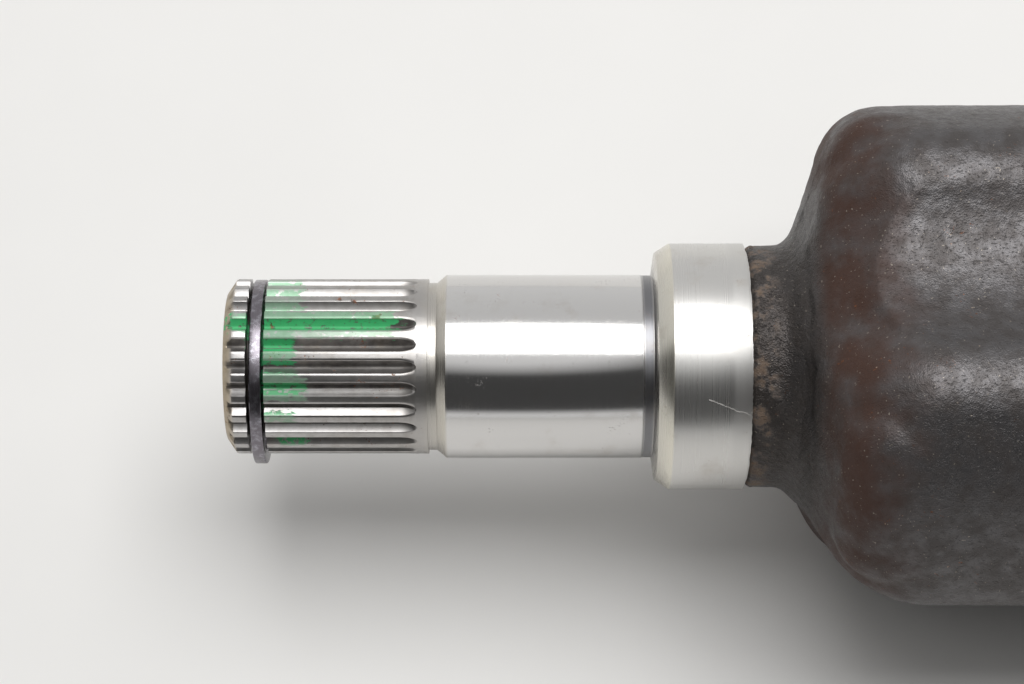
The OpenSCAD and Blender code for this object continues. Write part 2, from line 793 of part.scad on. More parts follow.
module inner_race()
    color(steel)
        on_ball_joint()
            difference() {
                intersection() {
                    sphere(race_r);
                    cube([2 * race_r, 2 * race_r, race_w], center = true);
                }
                ball_grooves();
                translate([0, 0, -race_w / 2 - over])
                    linear_extrude(race_w + 2 * over)
                        spline_hole_outline(bar_teeth, bar_spline_d / 2, bar_groove_depth, bar_groove_w);
            }

module ball_cage() {
    window_w = ball_d + 2 * window_play;
    color(steel)
        on_ball_joint()
            difference() {
                intersection() {
                    sphere(cage_out_r);
                    cube([2 * cage_out_r, 2 * cage_out_r, cage_w], center = true);
                }
                sphere(cage_in_r);
                for (turn = [0:60:300])
                    rotate(turn)
                        translate([cage_out_r, 0, 0])
                            cube([cage_out_r, window_w + window_extra, window_w], center = true);
            }
}

module ball(i)
    color(bright_steel)
        on_ball_joint() rotate((i - 1) * 60) translate([ball_pitch_r, 0, 0]) sphere(d = ball_d);

// Bell of the ball joint, with the wheel stub behind it
module outer_joint_bell() {
    // The grooves end where a ball stops at the steepest angle
    groove_back = ball_pitch_r * sin(outer_tilt_deg / 2) + bell_groove_r;
    // At that angle the bar lies along the flare inside the rim
    flare_r = bar_neck_d / 2 / cos(outer_tilt_deg) + bar_room;
    flare_len = rim_at + over;
    wheel_r = wheel_spline_d / 2;
    undercut_r = wheel_r - wheel_groove_depth;
    shoulder_front = shoulder_at - shoulder_len;
    barrel_front = bell_seat_len - rim_at;
    shoulder_r = shoulder_d / 2;
    // The round back leaves the barrel without a corner and ends on the hub shoulder
    back_drop = bell_r - shoulder_r;
    back_r = (pow(back_drop, 2) + pow(shoulder_front - barrel_at, 2)) / (2 * back_drop);
    color(steel)
        on_ball_joint()
            difference() {
                rotate_extrude() {
                    polygon([
                        [0, -rim_at], [bell_seat_r, -rim_at], [bell_seat_r, barrel_front],
                        [bell_r, barrel_front], [bell_r, barrel_at],
                        [shoulder_r, barrel_at], [shoulder_r, shoulder_at],
                        [undercut_r, shoulder_at], [undercut_r, shoulder_at + wheel_undercut_len],
                        [wheel_r, shoulder_at + wheel_undercut_len],
                        [wheel_r, shoulder_at + wheel_spline_len],
                        [thread_d / 2, shoulder_at + wheel_spline_len],
                        [thread_d / 2, shoulder_at + wheel_spline_len + thread_len - thread_chamfer],
                        [thread_d / 2 - thread_chamfer, shoulder_at + wheel_spline_len + thread_len],
                        [0, shoulder_at + wheel_spline_len + thread_len]
                    ]);
                    intersection() {
                        translate([bell_r - back_r, barrel_at]) circle(back_r);
                        translate([undercut_r, barrel_at])
                            square([back_drop + shoulder_r, shoulder_front - barrel_at]);
                    }
                }
                sphere(bell_bore_r);
                intersection() {
                    ball_grooves();
                    translate([0, 0, -flare_len]) cylinder(h = flare_len + groove_back, r = bell_r);
                }
                translate([0, 0, -flare_len])
                    cylinder(h = flare_len, r1 = flare_r + flare_len * tan(outer_tilt_deg), r2 = flare_r);
                spline_grooves(wheel_teeth, wheel_r, wheel_groove_depth, wheel_groove_w,
                    shoulder_at + wheel_undercut_len / 2, shoulder_at + wheel_spline_len + over);
                translate([0, 0, shoulder_at + wheel_spline_len + thread_len])
                    mirror([0, 0, 1]) lathe_centre();
            }
}

inner_joint_housing();
stub_snap_ring();
tripod_spider();
for (i = [1:3]) {
    roller(i);
    needle_set(i);
    trunnion_ring(i);
}
bar_circlip(circlip_stations()[0]);  // spider_end_circlip
bar_circlip(circlip_stations()[1]);  // spider_stop_circlip
axle_bar();
inner_boot();
inner_boot_large_clamp();
inner_boot_small_clamp();
outer_boot();
outer_boot_large_clamp();
outer_boot_small_clamp();
inner_race();
bar_circlip(circlip_stations()[3]);  // race_end_circlip
bar_circlip(circlip_stations()[2]);  // race_stop_circlip
ball_cage();
for (i = [1:6]) ball(i);
outer_joint_bell();
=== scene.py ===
# %% [markdown]
# # A used half shaft
# A half shaft carries the drive of a car from the gearbox to a front wheel. This lesson dresses the
# solids of such a shaft: the splined gearbox stub, the forged tripod housing, the bar, the two rubber
# boots with their bands, and the bell with the wheel stub. The imported solids are loaded first, because
# every piece made here sits in their frame, in metres. Their box is kept and printed.

# %% Load the solids
import math

import bmesh
import bpy
from mathutils import Matrix, Vector, noise


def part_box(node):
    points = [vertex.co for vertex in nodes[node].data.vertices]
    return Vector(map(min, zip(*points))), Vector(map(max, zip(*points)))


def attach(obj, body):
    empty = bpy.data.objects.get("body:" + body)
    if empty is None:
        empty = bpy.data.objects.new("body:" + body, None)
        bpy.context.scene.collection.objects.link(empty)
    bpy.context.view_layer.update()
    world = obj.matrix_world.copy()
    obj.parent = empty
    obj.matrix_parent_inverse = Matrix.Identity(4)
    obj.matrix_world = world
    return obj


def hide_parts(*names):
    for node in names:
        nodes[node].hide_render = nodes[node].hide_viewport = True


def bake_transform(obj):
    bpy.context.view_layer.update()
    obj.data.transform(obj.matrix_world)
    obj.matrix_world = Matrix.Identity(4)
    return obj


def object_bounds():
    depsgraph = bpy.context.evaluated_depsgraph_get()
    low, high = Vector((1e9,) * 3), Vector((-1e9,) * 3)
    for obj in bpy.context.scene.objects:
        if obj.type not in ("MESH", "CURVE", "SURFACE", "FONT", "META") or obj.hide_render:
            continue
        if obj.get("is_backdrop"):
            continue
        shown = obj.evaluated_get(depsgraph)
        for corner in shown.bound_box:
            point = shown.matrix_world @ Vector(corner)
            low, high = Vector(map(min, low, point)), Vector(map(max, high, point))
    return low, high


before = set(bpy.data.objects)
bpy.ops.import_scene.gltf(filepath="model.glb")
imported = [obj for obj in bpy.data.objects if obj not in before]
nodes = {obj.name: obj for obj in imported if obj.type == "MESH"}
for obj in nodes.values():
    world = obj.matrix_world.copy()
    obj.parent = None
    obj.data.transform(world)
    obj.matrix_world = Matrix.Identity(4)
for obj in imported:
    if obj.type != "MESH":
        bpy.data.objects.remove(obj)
cad_low, cad_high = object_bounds()
MM = 0.001
print("solids:", len(nodes), "box in mm:", [round(v / MM, 1) for v in cad_high - cad_low])

# %% [markdown]
# ## Camera
# The view is a close look at the gearbox end, from above and in front. The collar that the oil seal runs
# on is 40 mm across and gives the scale: pixels for each millimetre at the depth of the axis. From that
# and the distance comes the lens, so the picture keeps its perspective.

# %% Place the camera
scene = bpy.context.scene
scene.view_settings.view_transform = "Standard"
PICTURE_WIDTH = 1024
PX_PER_MM = 6.14
SENSOR_WIDTH = 36.0
CAMERA_DISTANCE = 480
CAMERA_ELEVATION = math.radians(63.3)
PICTURE_CENTRE_X = -31.4
AXIS_BELOW_CENTRE = 3.96
NEAREST_SEEN = 0.02

to_camera = Vector((0, -math.cos(CAMERA_ELEVATION), math.sin(CAMERA_ELEVATION)))
picture_up = Vector((0, math.sin(CAMERA_ELEVATION), math.cos(CAMERA_ELEVATION)))
aim = Vector((PICTURE_CENTRE_X, 0, 0)) + AXIS_BELOW_CENTRE * picture_up
camera = bpy.data.objects.new("camera", bpy.data.cameras.new("camera"))
scene.collection.objects.link(camera)
camera.data.sensor_width = SENSOR_WIDTH
camera.data.lens = SENSOR_WIDTH * PX_PER_MM * CAMERA_DISTANCE / PICTURE_WIDTH
camera.location = (aim + CAMERA_DISTANCE * to_camera) * MM
camera.rotation_mode = "QUATERNION"
camera.rotation_quaternion = to_camera.to_track_quat("Z", "Y")
camera.data.clip_start = NEAREST_SEEN
scene.camera = camera
print("lens in mm:", round(camera.data.lens, 1))

# %% [markdown]
# ## Wiring nodes
# Materials here are built from many small nodes, and a few helpers keep each line of wiring short. add()
# makes a node, sets its options and fills its sockets: a socket is linked, and a plain value is set. The
# other helpers wrap the nodes that come up most: sums, masks, noise, ramps and groups.


# %% Helpers for nodes and sums
def fill(tree, socket, value):
    """Links a socket to another socket, or sets a plain value on it."""
    if isinstance(value, bpy.types.NodeSocket):
        tree.links.new(value, socket)
    else:
        socket.default_value = value


def add(tree, kind, inputs=None, **options):
    """Makes a shader node, sets its options and fills its inputs."""
    made = tree.nodes.new("ShaderNode" + kind)
    for name, value in options.items():
        setattr(made, name, value)
    for name, value in (inputs or {}).items():
        fill(tree, made.inputs[name], value)
    return made


def calc(tree, operation, first, second=0.0):
    """One Math node."""
    return add(tree, "Math", {0: first, 1: second}, operation=operation).outputs[0]


def times(tree, first, *others):
    """The product of several values."""
    for other in others:
        first = calc(tree, "MULTIPLY", first, other)
    return first


def total(tree, first, *others):
    """The sum of several values."""
    for other in others:
        first = calc(tree, "ADD", first, other)
    return first


def the_rest(tree, mask):
    """One minus a mask."""
    return calc(tree, "SUBTRACT", 1.0, mask)


def away_from(tree, value, centre):
    """How far a value is from a centre, on either side."""
    return calc(tree, "ABSOLUTE", calc(tree, "SUBTRACT", value, centre))


def span(tree, value, low, high, start=0.0, end=1.0):
    """Smoothly takes a value from low..high to start..end."""
    inputs = {"Value": value, "From Min": low, "From Max": high, "To Min": start, "To Max": end}
    return add(tree, "MapRange", inputs, interpolation_type="SMOOTHSTEP").outputs[0]


print("helpers for sums ready")

# %% Helpers for colours and noise
# The Mix node has sockets for each type of data, and these are its colour sockets
MIX_FIRST, MIX_SECOND, MIX_RESULT = 6, 7, 2


def mix(tree, factor, first, second):
    """Blends two colours, each a socket or a tuple of red, green and blue."""
    made = add(tree, "Mix", {0: factor}, data_type="RGBA")
    for index, value in ((MIX_FIRST, first), (MIX_SECOND, second)):
        fill(tree, made.inputs[index], (*value, 1.0) if isinstance(value, tuple) else value)
    return made.outputs[MIX_RESULT]


def blotches(tree, vector, size, detail=3.0, roughness=0.55):
    """Soft noise whose blobs are about size millimetres across."""
    inputs = {"Vector": vector, "Scale": 1.0 / size, "Detail": detail, "Roughness": roughness}
    return add(tree, "TexNoise", inputs).outputs[0]


def sway(tree, vector, size, width, detail=3.0, roughness=0.55):
    """Soft noise that swings about zero, over the given width."""
    return times(tree, calc(tree, "SUBTRACT", blotches(tree, vector, size, detail, roughness), 0.5), width)


def steps_along(tree, value, low, high, stops):
    """A ramp of colours over low..high. Each stop is a station and a colour or a grey."""
    ramp = add(tree, "ValToRGB", {0: add(tree, "MapRange", {0: value, 1: low, 2: high}).outputs[0]})
    elements = ramp.color_ramp.elements
    while len(elements) < len(stops):
        elements.new(1.0)
    for element, (station, colour) in zip(elements, stops):
        element.position = (station - low) / (high - low)
        element.color = (*((colour,) * 3 if isinstance(colour, float) else colour), 1.0)
    return ramp.outputs[0]


print("helpers for colours ready")


# %% Helpers for groups and materials
def start_group(name, inputs, outputs):
    """A shader group with float inputs (or a Vector) and named outputs."""
    group = bpy.data.node_groups.new(name, "ShaderNodeTree")
    for label, value in inputs.items():
        kind = "NodeSocketVector" if label == "Vector" else "NodeSocketFloat"
        socket = group.interface.new_socket(label, in_out="INPUT", socket_type=kind)
        if kind == "NodeSocketFloat":
            socket.default_value = value
    for label in outputs:
        kind = "NodeSocketColor" if label == "Colour" else "NodeSocketFloat"
        group.interface.new_socket(label, in_out="OUTPUT", socket_type=kind)
    return group, group.nodes.new("NodeGroupInput").outputs, group.nodes.new("NodeGroupOutput").inputs


def use_group(tree, group, **values):
    """Places a group in a material and returns its outputs."""
    made = tree.nodes.new("ShaderNodeGroup")
    made.node_tree = group
    for name, value in values.items():
        fill(tree, made.inputs[name], value)
    return made.outputs


def start_material(name):
    """A material with its Principled shader, and Object coordinates in millimetres."""
    material = bpy.data.materials.new(name)
    material.use_nodes = True
    tree = material.node_tree
    surface = tree.nodes["Principled BSDF"]
    place = add(tree, "TexCoord").outputs["Object"]
    place = add(tree, "VectorMath", {0: place, "Scale": 1 / MM}, operation="SCALE").outputs[0]
    return material, tree, surface, place


def feed(tree, surface, **values):
    """Fills inputs of the shader. An underscore stands for a space in an input's name."""
    for name, value in values.items():
        fill(tree, surface.inputs[name.replace("_", " ")], value)


def raise_bumps(tree, surface, height, depth):
    """Feeds a height to the shader's normal; a height of 1 is depth millimetres."""
    bump = add(tree, "Bump", {"Height": height, "Distance": depth * MM, "Strength": 1.0})
    feed(tree, surface, Normal=bump.outputs[0])


print("helpers for groups and materials ready")

# %% [markdown]
# ## Studio
# Polished steel shows the room more than itself. A broad softbox overhead gives the journal its white
# band, and a dim wall behind the camera gives the dark band below it. The rest of the room is pale, so a
# low view has a pale background. The floor is a pale disc that fades out at its edge, and it carries the
# shadow.

# %% Room
ROOM_PALE, ROOM_DIM, CEILING = 0.74, 0.06, 0.62
# Shades of the walls by height: -1 is straight down and 1 is straight up
FRONT_WALL = [(-1.0, ROOM_PALE), (0.02, ROOM_PALE), (0.14, ROOM_DIM), (0.78, ROOM_DIM), (0.92, ROOM_PALE)]
BACK_WALL = [(0.1, ROOM_PALE), (1.0, CEILING)]
# The walls blend into each other over this much to either side of the middle
WALLS_MEET = 0.06

world = bpy.data.worlds.new("studio")
scene.world = world
world.use_nodes = True
tree = world.node_tree
direction = add(tree, "TexCoord").outputs["Generated"]
sides = add(tree, "SeparateXYZ", {0: direction}).outputs
front = steps_along(tree, sides["Z"], -1.0, 1.0, FRONT_WALL)
back = steps_along(tree, sides["Z"], -1.0, 1.0, BACK_WALL)
room = mix(tree, span(tree, sides["Y"], -WALLS_MEET, WALLS_MEET), front, back)
tree.links.new(room, tree.nodes["Background"].inputs["Color"])
print("room shades:", ROOM_PALE, "pale,", ROOM_DIM, "dim")

# %% Softbox
SOFTBOX_LENGTH, SOFTBOX_DEPTH = 0.9, 0.8
SOFTBOX_PLACE = (0.1, 0.21, 1.15)
SOFTBOX_POWER = 10.0

softbox = bpy.data.objects.new("softbox", bpy.data.lights.new("softbox", "AREA"))
softbox.data.shape = "RECTANGLE"
softbox.data.size = SOFTBOX_LENGTH
softbox.data.size_y = SOFTBOX_DEPTH
softbox.data.energy = SOFTBOX_POWER
softbox.location = SOFTBOX_PLACE
scene.collection.objects.link(softbox)
print("softbox:", SOFTBOX_LENGTH, "by", SOFTBOX_DEPTH, "m, at", SOFTBOX_PLACE)

# %% Floor
FLOOR_RADIUS, FLOOR_SIDES = 1.5, 96
FLOOR_CENTRE_X = 0.2
# The floor fades out between these distances from the origin, in millimetres
FADE_FROM, FADE_TO = 600.0, 1200.0

shape = bmesh.new()
bmesh.ops.create_circle(shape, cap_ends=True, segments=FLOOR_SIDES, radius=FLOOR_RADIUS)
bmesh.ops.translate(shape, verts=shape.verts, vec=(FLOOR_CENTRE_X, 0, cad_low.z))
floor = bpy.data.objects.new("floor", bpy.data.meshes.new("floor"))
shape.to_mesh(floor.data)
shape.free()
scene.collection.objects.link(floor)
floor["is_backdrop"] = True
material, tree, surface, place = start_material("pale_floor")
colour = mix(tree, blotches(tree, place, 40.0), (0.80, 0.79, 0.77), (0.84, 0.83, 0.81))
feed(tree, surface, Base_Color=colour, Roughness=0.75)
reach = add(tree, "VectorMath", {0: place}, operation="LENGTH").outputs["Value"]
fade = span(tree, reach, FADE_FROM, FADE_TO)
clear = add(tree, "BsdfTransparent").outputs[0]
shader = add(tree, "MixShader", {0: fade, 1: surface.outputs[0], 2: clear})
tree.links.new(shader.outputs[0], tree.nodes["Material Output"].inputs["Surface"])
floor.data.materials.append(material)
print("floor at", round(cad_low.z / MM, 2), "mm")

# %% [markdown]
# ## Effects that several finishes share
# Each effect is a group, built once. The polar group turns a point into its station along the shaft, its
# radius and its angle round the axis, which is how a lathe sees the part. Turning marks are a noise of one
# dimension, read along the axis. Rust, scale and grime are noise cut at a level.

# %% Polar group
polar, given, out = start_group("Shaft Polar", {"Vector": None}, ["Along", "Radius", "Turn"])
axes = add(polar, "SeparateXYZ", {0: given["Vector"]}).outputs
squares = total(polar, times(polar, axes["Y"], axes["Y"]), times(polar, axes["Z"], axes["Z"]))
# The angle is zero at the top, and grows towards the front
towards_front = times(polar, axes["Y"], -1.0)
polar.links.new(axes["X"], out["Along"])
polar.links.new(calc(polar, "SQRT", squares), out["Radius"])
polar.links.new(calc(polar, "DEGREES", calc(polar, "ARCTAN2", towards_front, axes["Z"])), out["Turn"])
print("group:", polar.name)

# %% Turning marks
settings = {"Vector": None, "Along": 0.0, "Pitch": 0.2}
turning, given, out = start_group("Turning Marks", settings, ["Lines"])
settings = {"W": calc(turning, "DIVIDE", given["Along"], given["Pitch"]), "Scale": 1.0, "Detail": 3.0}
lines = add(turning, "TexNoise", settings, noise_dimensions="1D").outputs[0]
patchy = span(turning, blotches(turning, given["Vector"], 9.0), 0.3, 0.7, 0.45, 1.0)
lines = times(turning, calc(turning, "SUBTRACT", lines, 0.5), patchy)
turning.links.new(calc(turning, "ADD", lines, 0.5), out["Lines"])
print("group:", turning.name)


# %% Rust freckles
def grains(tree, vector, size):
    """Coordinates in which one unit is one grain of the given size."""
    scale = calc(tree, "DIVIDE", 1.0, size)
    return add(tree, "VectorMath", {0: vector, "Scale": scale}, operation="SCALE").outputs[0]


settings = {"Vector": None, "Size": 1.0, "Amount": 0.4}
rust, given, out = start_group("Rust Freckles", settings, ["Mask", "Colour"])
grain = grains(rust, given["Vector"], given["Size"])
fine = blotches(rust, grain, 1.0, 5.0, 0.65)
broad = blotches(rust, grain, 7.0, 2.0)
speckle = total(rust, times(rust, fine, 0.6), times(rust, broad, 0.4))
level = the_rest(rust, given["Amount"])
rust.links.new(span(rust, speckle, level, calc(rust, "ADD", level, 0.05)), out["Mask"])
tone = span(rust, blotches(rust, grain, 1.7), 0.35, 0.65)
rust.links.new(mix(rust, tone, (0.045, 0.018, 0.008), (0.27, 0.085, 0.02)), out["Colour"])
print("group:", rust.name)

# %% Forge scale
settings = {"Vector": None, "Grain": 0.7}
skin, given, out = start_group("Forge Scale", settings, ["Height", "Shade", "Pits"])
grain = grains(skin, given["Vector"], given["Grain"])
settings = {"Vector": grain, "Scale": 1.0, "Smoothness": 0.6}
pebbles = add(skin, "TexVoronoi", settings, feature="SMOOTH_F1").outputs[0]
lumps = blotches(skin, grain, 4.0, 3.0, 0.5)
# The pits are drawn out along the shaft
drawn_out = add(skin, "VectorMath", {0: grain, 1: (0.5, 1.0, 1.0)}, operation="MULTIPLY").outputs[0]
pits = span(skin, blotches(skin, drawn_out, 1.2, 2.0, 0.5), 0.58, 0.70)
height = total(skin, lumps, 0.3, times(skin, pebbles, -0.35), times(skin, pits, -0.3))
shade = span(skin, blotches(skin, grain, 14.0, 5.0, 0.6), 0.35, 0.68)
for label, value in (("Height", height), ("Shade", shade), ("Pits", pits)):
    skin.links.new(value, out[label])
print("group:", skin.name)

# %% Grime
settings = {"Vector": None, "Size": 8.0, "Amount": 0.5}
grime, given, out = start_group("Grime", settings, ["Mask"])
smear = blotches(grime, grains(grime, given["Vector"], given["Size"]), 1.0, 6.0, 0.62)
level = calc(grime, "SUBTRACT", 0.95, given["Amount"])
grime.links.new(span(grime, smear, level, calc(grime, "ADD", level, 0.3)), out["Mask"])
print("group:", grime.name)

# %% [markdown]
# ## Making pieces
# Many pieces of the shaft are round, so they are a profile spun about the X axis, as on a lathe. The
# profile's corners are rounded first, by a bevel of its vertices, because no machined or moulded edge is
# perfectly sharp. The other pieces start as a copy of their solid, which may be cut and have its edges
# rounded. Most finished pieces ride on a body, and each one hides the solids it stands for.

# %% Spun pieces
# Points nearer than this are merged, in metres
SPUN_MERGE = 1e-7


def spun(profile, steps, ease=0.0, segments=2, sharp=()):
    """A bmesh of a profile of (station, radius) in millimetres, spun round the X axis."""
    made = bmesh.new()
    points = [made.verts.new((x * MM, 0, r * MM)) for x, r in profile]
    for pair in zip(points, points[1:]):
        made.edges.new(pair)
    if ease:
        corners = [p for i, p in enumerate(points) if 0 < i < len(points) - 1 and i not in sharp]
        bmesh.ops.bevel(
            made,
            geom=corners,
            offset=ease * MM,
            affect="VERTICES",
            segments=segments,
            profile=0.5,
            material=-1,
            clamp_overlap=True,
        )
    bmesh.ops.spin(
        made,
        geom=made.verts[:] + made.edges[:],
        cent=(0, 0, 0),
        axis=(1, 0, 0),
        angle=2 * math.pi,
        steps=steps,
        use_merge=True,
    )
    bmesh.ops.remove_doubles(made, verts=made.verts, dist=SPUN_MERGE)
    bmesh.ops.recalc_face_normals(made, faces=made.faces)
    return made


print("spun pieces ready")

# %% Copies of solids
SOLID_MERGE = 1e-6
FLAT_ANGLE = math.radians(0.6)


def solid_copy(node):
    """A bmesh copy of a solid, with its loose triangles joined up."""
    made = bmesh.new()
    made.from_mesh(nodes[node].data)
    bmesh.ops.remove_doubles(made, verts=made.verts, dist=SOLID_MERGE)
    return made


def slice_at(made, station, keep):
    """Cuts a bmesh across the shaft, and keeps the side before or after the station."""
    bmesh.ops.bisect_plane(
        made,
        geom=made.verts[:] + made.edges[:] + made.faces[:],
        plane_co=(station * MM, 0, 0),
        plane_no=(1, 0, 0),
        clear_inner=keep == "after",
        clear_outer=keep == "before",
    )


def cut_at(made, station, keep, hollow=False):
    """Slices a closed bmesh and closes the cut: a hollow one with a ring, a full one with a disc."""
    slice_at(made, station, keep)
    rim = [e for e in made.edges if e.is_boundary]
    if hollow:
        bmesh.ops.bridge_loops(made, edges=rim)
    else:
        bmesh.ops.holes_fill(made, edges=rim, sides=0)


def break_edges(made, width, angle=math.radians(35)):
    """Rounds the edges of a solid's copy that are sharper than the angle."""
    bmesh.ops.dissolve_limit(made, angle_limit=FLAT_ANGLE, verts=made.verts, edges=made.edges)
    sharp = [e for e in made.edges if e.is_manifold and e.calc_face_angle() > angle]
    bmesh.ops.bevel(
        made,
        geom=sharp,
        offset=width * MM,
        affect="EDGES",
        segments=2,
        profile=0.5,
        material=-1,
        clamp_overlap=True,
    )


print("copies of solids ready")

# %% Finished pieces
SMOOTH_ANGLE = math.radians(32)


def edge_use(mesh):
    """How many faces share each edge of a mesh."""
    uses = {}
    for polygon in mesh.polygons:
        for key in polygon.edge_keys:
            uses[key] = uses.get(key, 0) + 1
    return uses.values()


def piece(name, made, material, slot, *replaced):
    """Turns a bmesh into an object with smooth shading and a finish, and hides the solids it stands for."""
    mesh = bpy.data.meshes.new(name)
    made.to_mesh(mesh)
    made.free()
    mesh.shade_smooth()
    mesh.set_sharp_from_angle(angle=SMOOTH_ANGLE)
    mesh.materials.append(material)
    obj = bpy.data.objects.new(name, mesh)
    scene.collection.objects.link(obj)
    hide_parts(*replaced)
    open_edges = sum(1 for count in edge_use(mesh) if count != 2)
    print(name, "faces:", len(mesh.polygons), "edges not shared by two faces:", open_edges)
    return obj


print("finished pieces ready")

# %% [markdown]
# ## Steel of the gearbox stub
# One forging carries five machined finishes, and each has its own stations along the shaft: the stained
# chamfer at the tip, the bright spline, the polished journal, the dull band at its foot and the turned
# collar. Ramps over the station give each its colour and roughness. The bottom and one flank of each
# groove are painted dark as shade, most on the front and the underside, with a lit line left along the
# groove's bottom edge. Green marking paint was brushed on near the snap ring and along one groove, and has
# worn thin on the teeth.

# %% Steel along the stub
# Stations along the shaft and radii from its axis, in millimetres
TIP_AT, TIP_R = -77.4, 12.0
CHAMFER_AT = -75.9
TEETH, TOOTH_R = 25, 14.2
SPLINE_END = -46.6
STUB_LOW, STUB_HIGH = -78.0, 8.0
STUB_COLOURS = [
    (-78.0, (0.40, 0.32, 0.21)),
    (-76.4, (0.46, 0.39, 0.29)),
    (-75.7, (0.50, 0.49, 0.485)),
    (-46.0, (0.44, 0.425, 0.41)),
    (-42.1, (0.58, 0.55, 0.49)),
    (-41.8, (0.68, 0.67, 0.66)),
    (-10.6, (0.68, 0.67, 0.66)),
    (-10.4, (0.22, 0.22, 0.23)),
    (-8.9, (0.22, 0.22, 0.23)),
    (-8.6, (0.60, 0.58, 0.53)),
    (-6.1, (0.74, 0.71, 0.62)),
    (-5.9, (0.64, 0.63, 0.61)),
]
STUB_ROUGHNESS = [
    (-78.0, 0.45),
    (-75.9, 0.40),
    (-75.6, 0.30),
    (-46.0, 0.34),
    (-42.1, 0.26),
    (-41.8, 0.13),
    (-10.6, 0.13),
    (-10.4, 0.32),
    (-8.9, 0.32),
    (-8.6, 0.26),
    (-6.1, 0.28),
    (-5.9, 0.31),
    (3.4, 0.31),
    (3.6, 0.38),
]
stub_steel, tree, surface, place = start_material("gearbox_stub_steel")
along, radius, turn = use_group(tree, polar, Vector=place)
colour = steps_along(tree, along, STUB_LOW, STUB_HIGH, STUB_COLOURS)
rough = steps_along(tree, along, STUB_LOW, STUB_HIGH, STUB_ROUGHNESS)
on_spline = span(tree, along, SPLINE_END, SPLINE_END - 0.8)
print("stub finish: stops of colour", len(STUB_COLOURS), "and of roughness", len(STUB_ROUGHNESS))

# %% Painted shade and dirt on the spline
# One groove lies in the middle of the view, at this angle from the top
GROOVE_AT = 26.7
# The bottom of a groove meets its unshaded flank at this share of a pitch from the groove's middle
BOTTOM_EDGE = 0.105
CHAMFER_SLOPE = (TOOTH_R - TIP_R) / (CHAMFER_AT - TIP_AT)
# Painted shade in the grooves is near black, the dirt is grey and the stains are tan
SHADE_BLACK, DIRT_GREY, STAIN_TAN = (0.034, 0.028, 0.024), (0.24, 0.22, 0.2), (0.34, 0.27, 0.19)

pitches = calc(tree, "DIVIDE", calc(tree, "SUBTRACT", turn, GROOVE_AT), 360 / TEETH)
off_middle = calc(tree, "SUBTRACT", pitches, calc(tree, "ROUND", pitches))
shaded_flank = span(tree, off_middle, 0.10, 0.06)
chamfer = times(tree, calc(tree, "SUBTRACT", along, TIP_AT), CHAMFER_SLOPE)
uncut = calc(tree, "MINIMUM", calc(tree, "ADD", chamfer, TIP_R), TOOTH_R)
below_tips = calc(tree, "SUBTRACT", uncut, radius)
in_groove = times(tree, span(tree, below_tips, 0.1, 0.3), on_spline)
# The painted shade is strongest on the front and the underside
shaded_side = times(tree, span(tree, turn, 170.0, 140.0, 0.12, 1.0), span(tree, turn, -18.0, -8.0, 0.12, 1.0))
# Along the bottom edge of each groove the painted shade is lifted, which leaves a lit line, and the paint is
# worn thin there
worn_and_lit_edge = span(tree, away_from(tree, off_middle, BOTTOM_EDGE), 0.035, 0.02)
worn_and_lit_edge = times(tree, worn_and_lit_edge, span(tree, blotches(tree, place, 2.0), 0.3, 0.5))
shade_patches = use_group(tree, grime, Vector=place, Size=4.0, Amount=0.6)["Mask"]
# Painted shade: the bottom and the shaded flank of each groove are darkened, in patches
dark = times(tree, in_groove, span(tree, shaded_flank, 0.0, 1.0, 0.06, 0.92), shaded_side)
dark = times(tree, dark, span(tree, shade_patches, 0.0, 1.0, 0.8, 1.0), span(tree, worn_and_lit_edge, 0.0, 1.0, 1.0, 0.2))
# The floor of the snap ring's groove and the middle of the end face get the black painted shade too
dark = calc(tree, "MAXIMUM", dark, span(tree, below_tips, 1.5, 1.8))
colour = mix(tree, dark, colour, SHADE_BLACK)
# The spline is mottled where paint and dirt came off
mottle = span(tree, blotches(tree, place, 1.6, 5.0, 0.65), 0.35, 0.7)
colour = mix(tree, times(tree, mottle, on_spline, 0.4), colour, DIRT_GREY)
stain = use_group(tree, grime, Vector=place, Size=6.0, Amount=0.42)["Mask"]
colour = mix(tree, times(tree, stain, 0.3), colour, STAIN_TAN)
print("stub finish with painted_shade and dirt:", len(tree.nodes), "nodes")

# %% Rust on the stub
# Spots of rust: station, angle round the shaft and size
RUST_SPOTS = [(-58.9, -23.0, 0.55), (-56.5, -20.8, 0.4), (-52.9, -6.4, 0.75), (-69.7, -2.6, 0.5)]
# Length of one degree round the tips of the teeth
MM_PER_DEGREE = math.radians(TOOTH_R)

freckles = use_group(tree, rust, Vector=place, Size=0.45, Amount=0.385)
rusty = times(tree, freckles["Mask"], span(tree, on_spline, 0.0, 1.0, 0.25, 1.0))
crumbly = sway(tree, place, 0.7, 2.2, 4.0)
for station, angle, size in RUST_SPOTS:
    off_side = times(tree, away_from(tree, turn, angle), MM_PER_DEGREE)
    reach = calc(tree, "MAXIMUM", away_from(tree, along, station), off_side)
    spot = span(tree, calc(tree, "ADD", reach, crumbly), size, size - 0.3, 0.0, 0.9)
    rusty = calc(tree, "MAXIMUM", rusty, spot)
colour = mix(tree, rusty, colour, freckles["Colour"])
print("spots of rust:", len(RUST_SPOTS))

# %% Green marking paint
# Daubs of paint: station, angle round the shaft, half length, half angle and how thick they are
PAINT_DAUBS = [
    (-63.2, -4.5, 13.4, 7.2, 1.0),
    (-61.5, 4.4, 11.5, 2.9, 0.55),
    (-69.2, 14.0, 3.3, 11.5, 1.0),
    (-68.0, 40.0, 3.7, 9.5, 0.8),
    (-68.8, 62.0, 2.2, 3.0, 0.7),
    (-66.4, 85.0, 2.4, 4.5, 0.9),
    (-68.5, -36.0, 3.8, 18.0, 0.42),
]
# How far the ends of the daubs wander, in millimetres, and how much less their sides do
RAGGED, STEADY_SIDES = 11.0, 3.0
PAINT_DARK, PAINT_LIGHT = (0.03, 0.36, 0.12), (0.07, 0.5, 0.19)

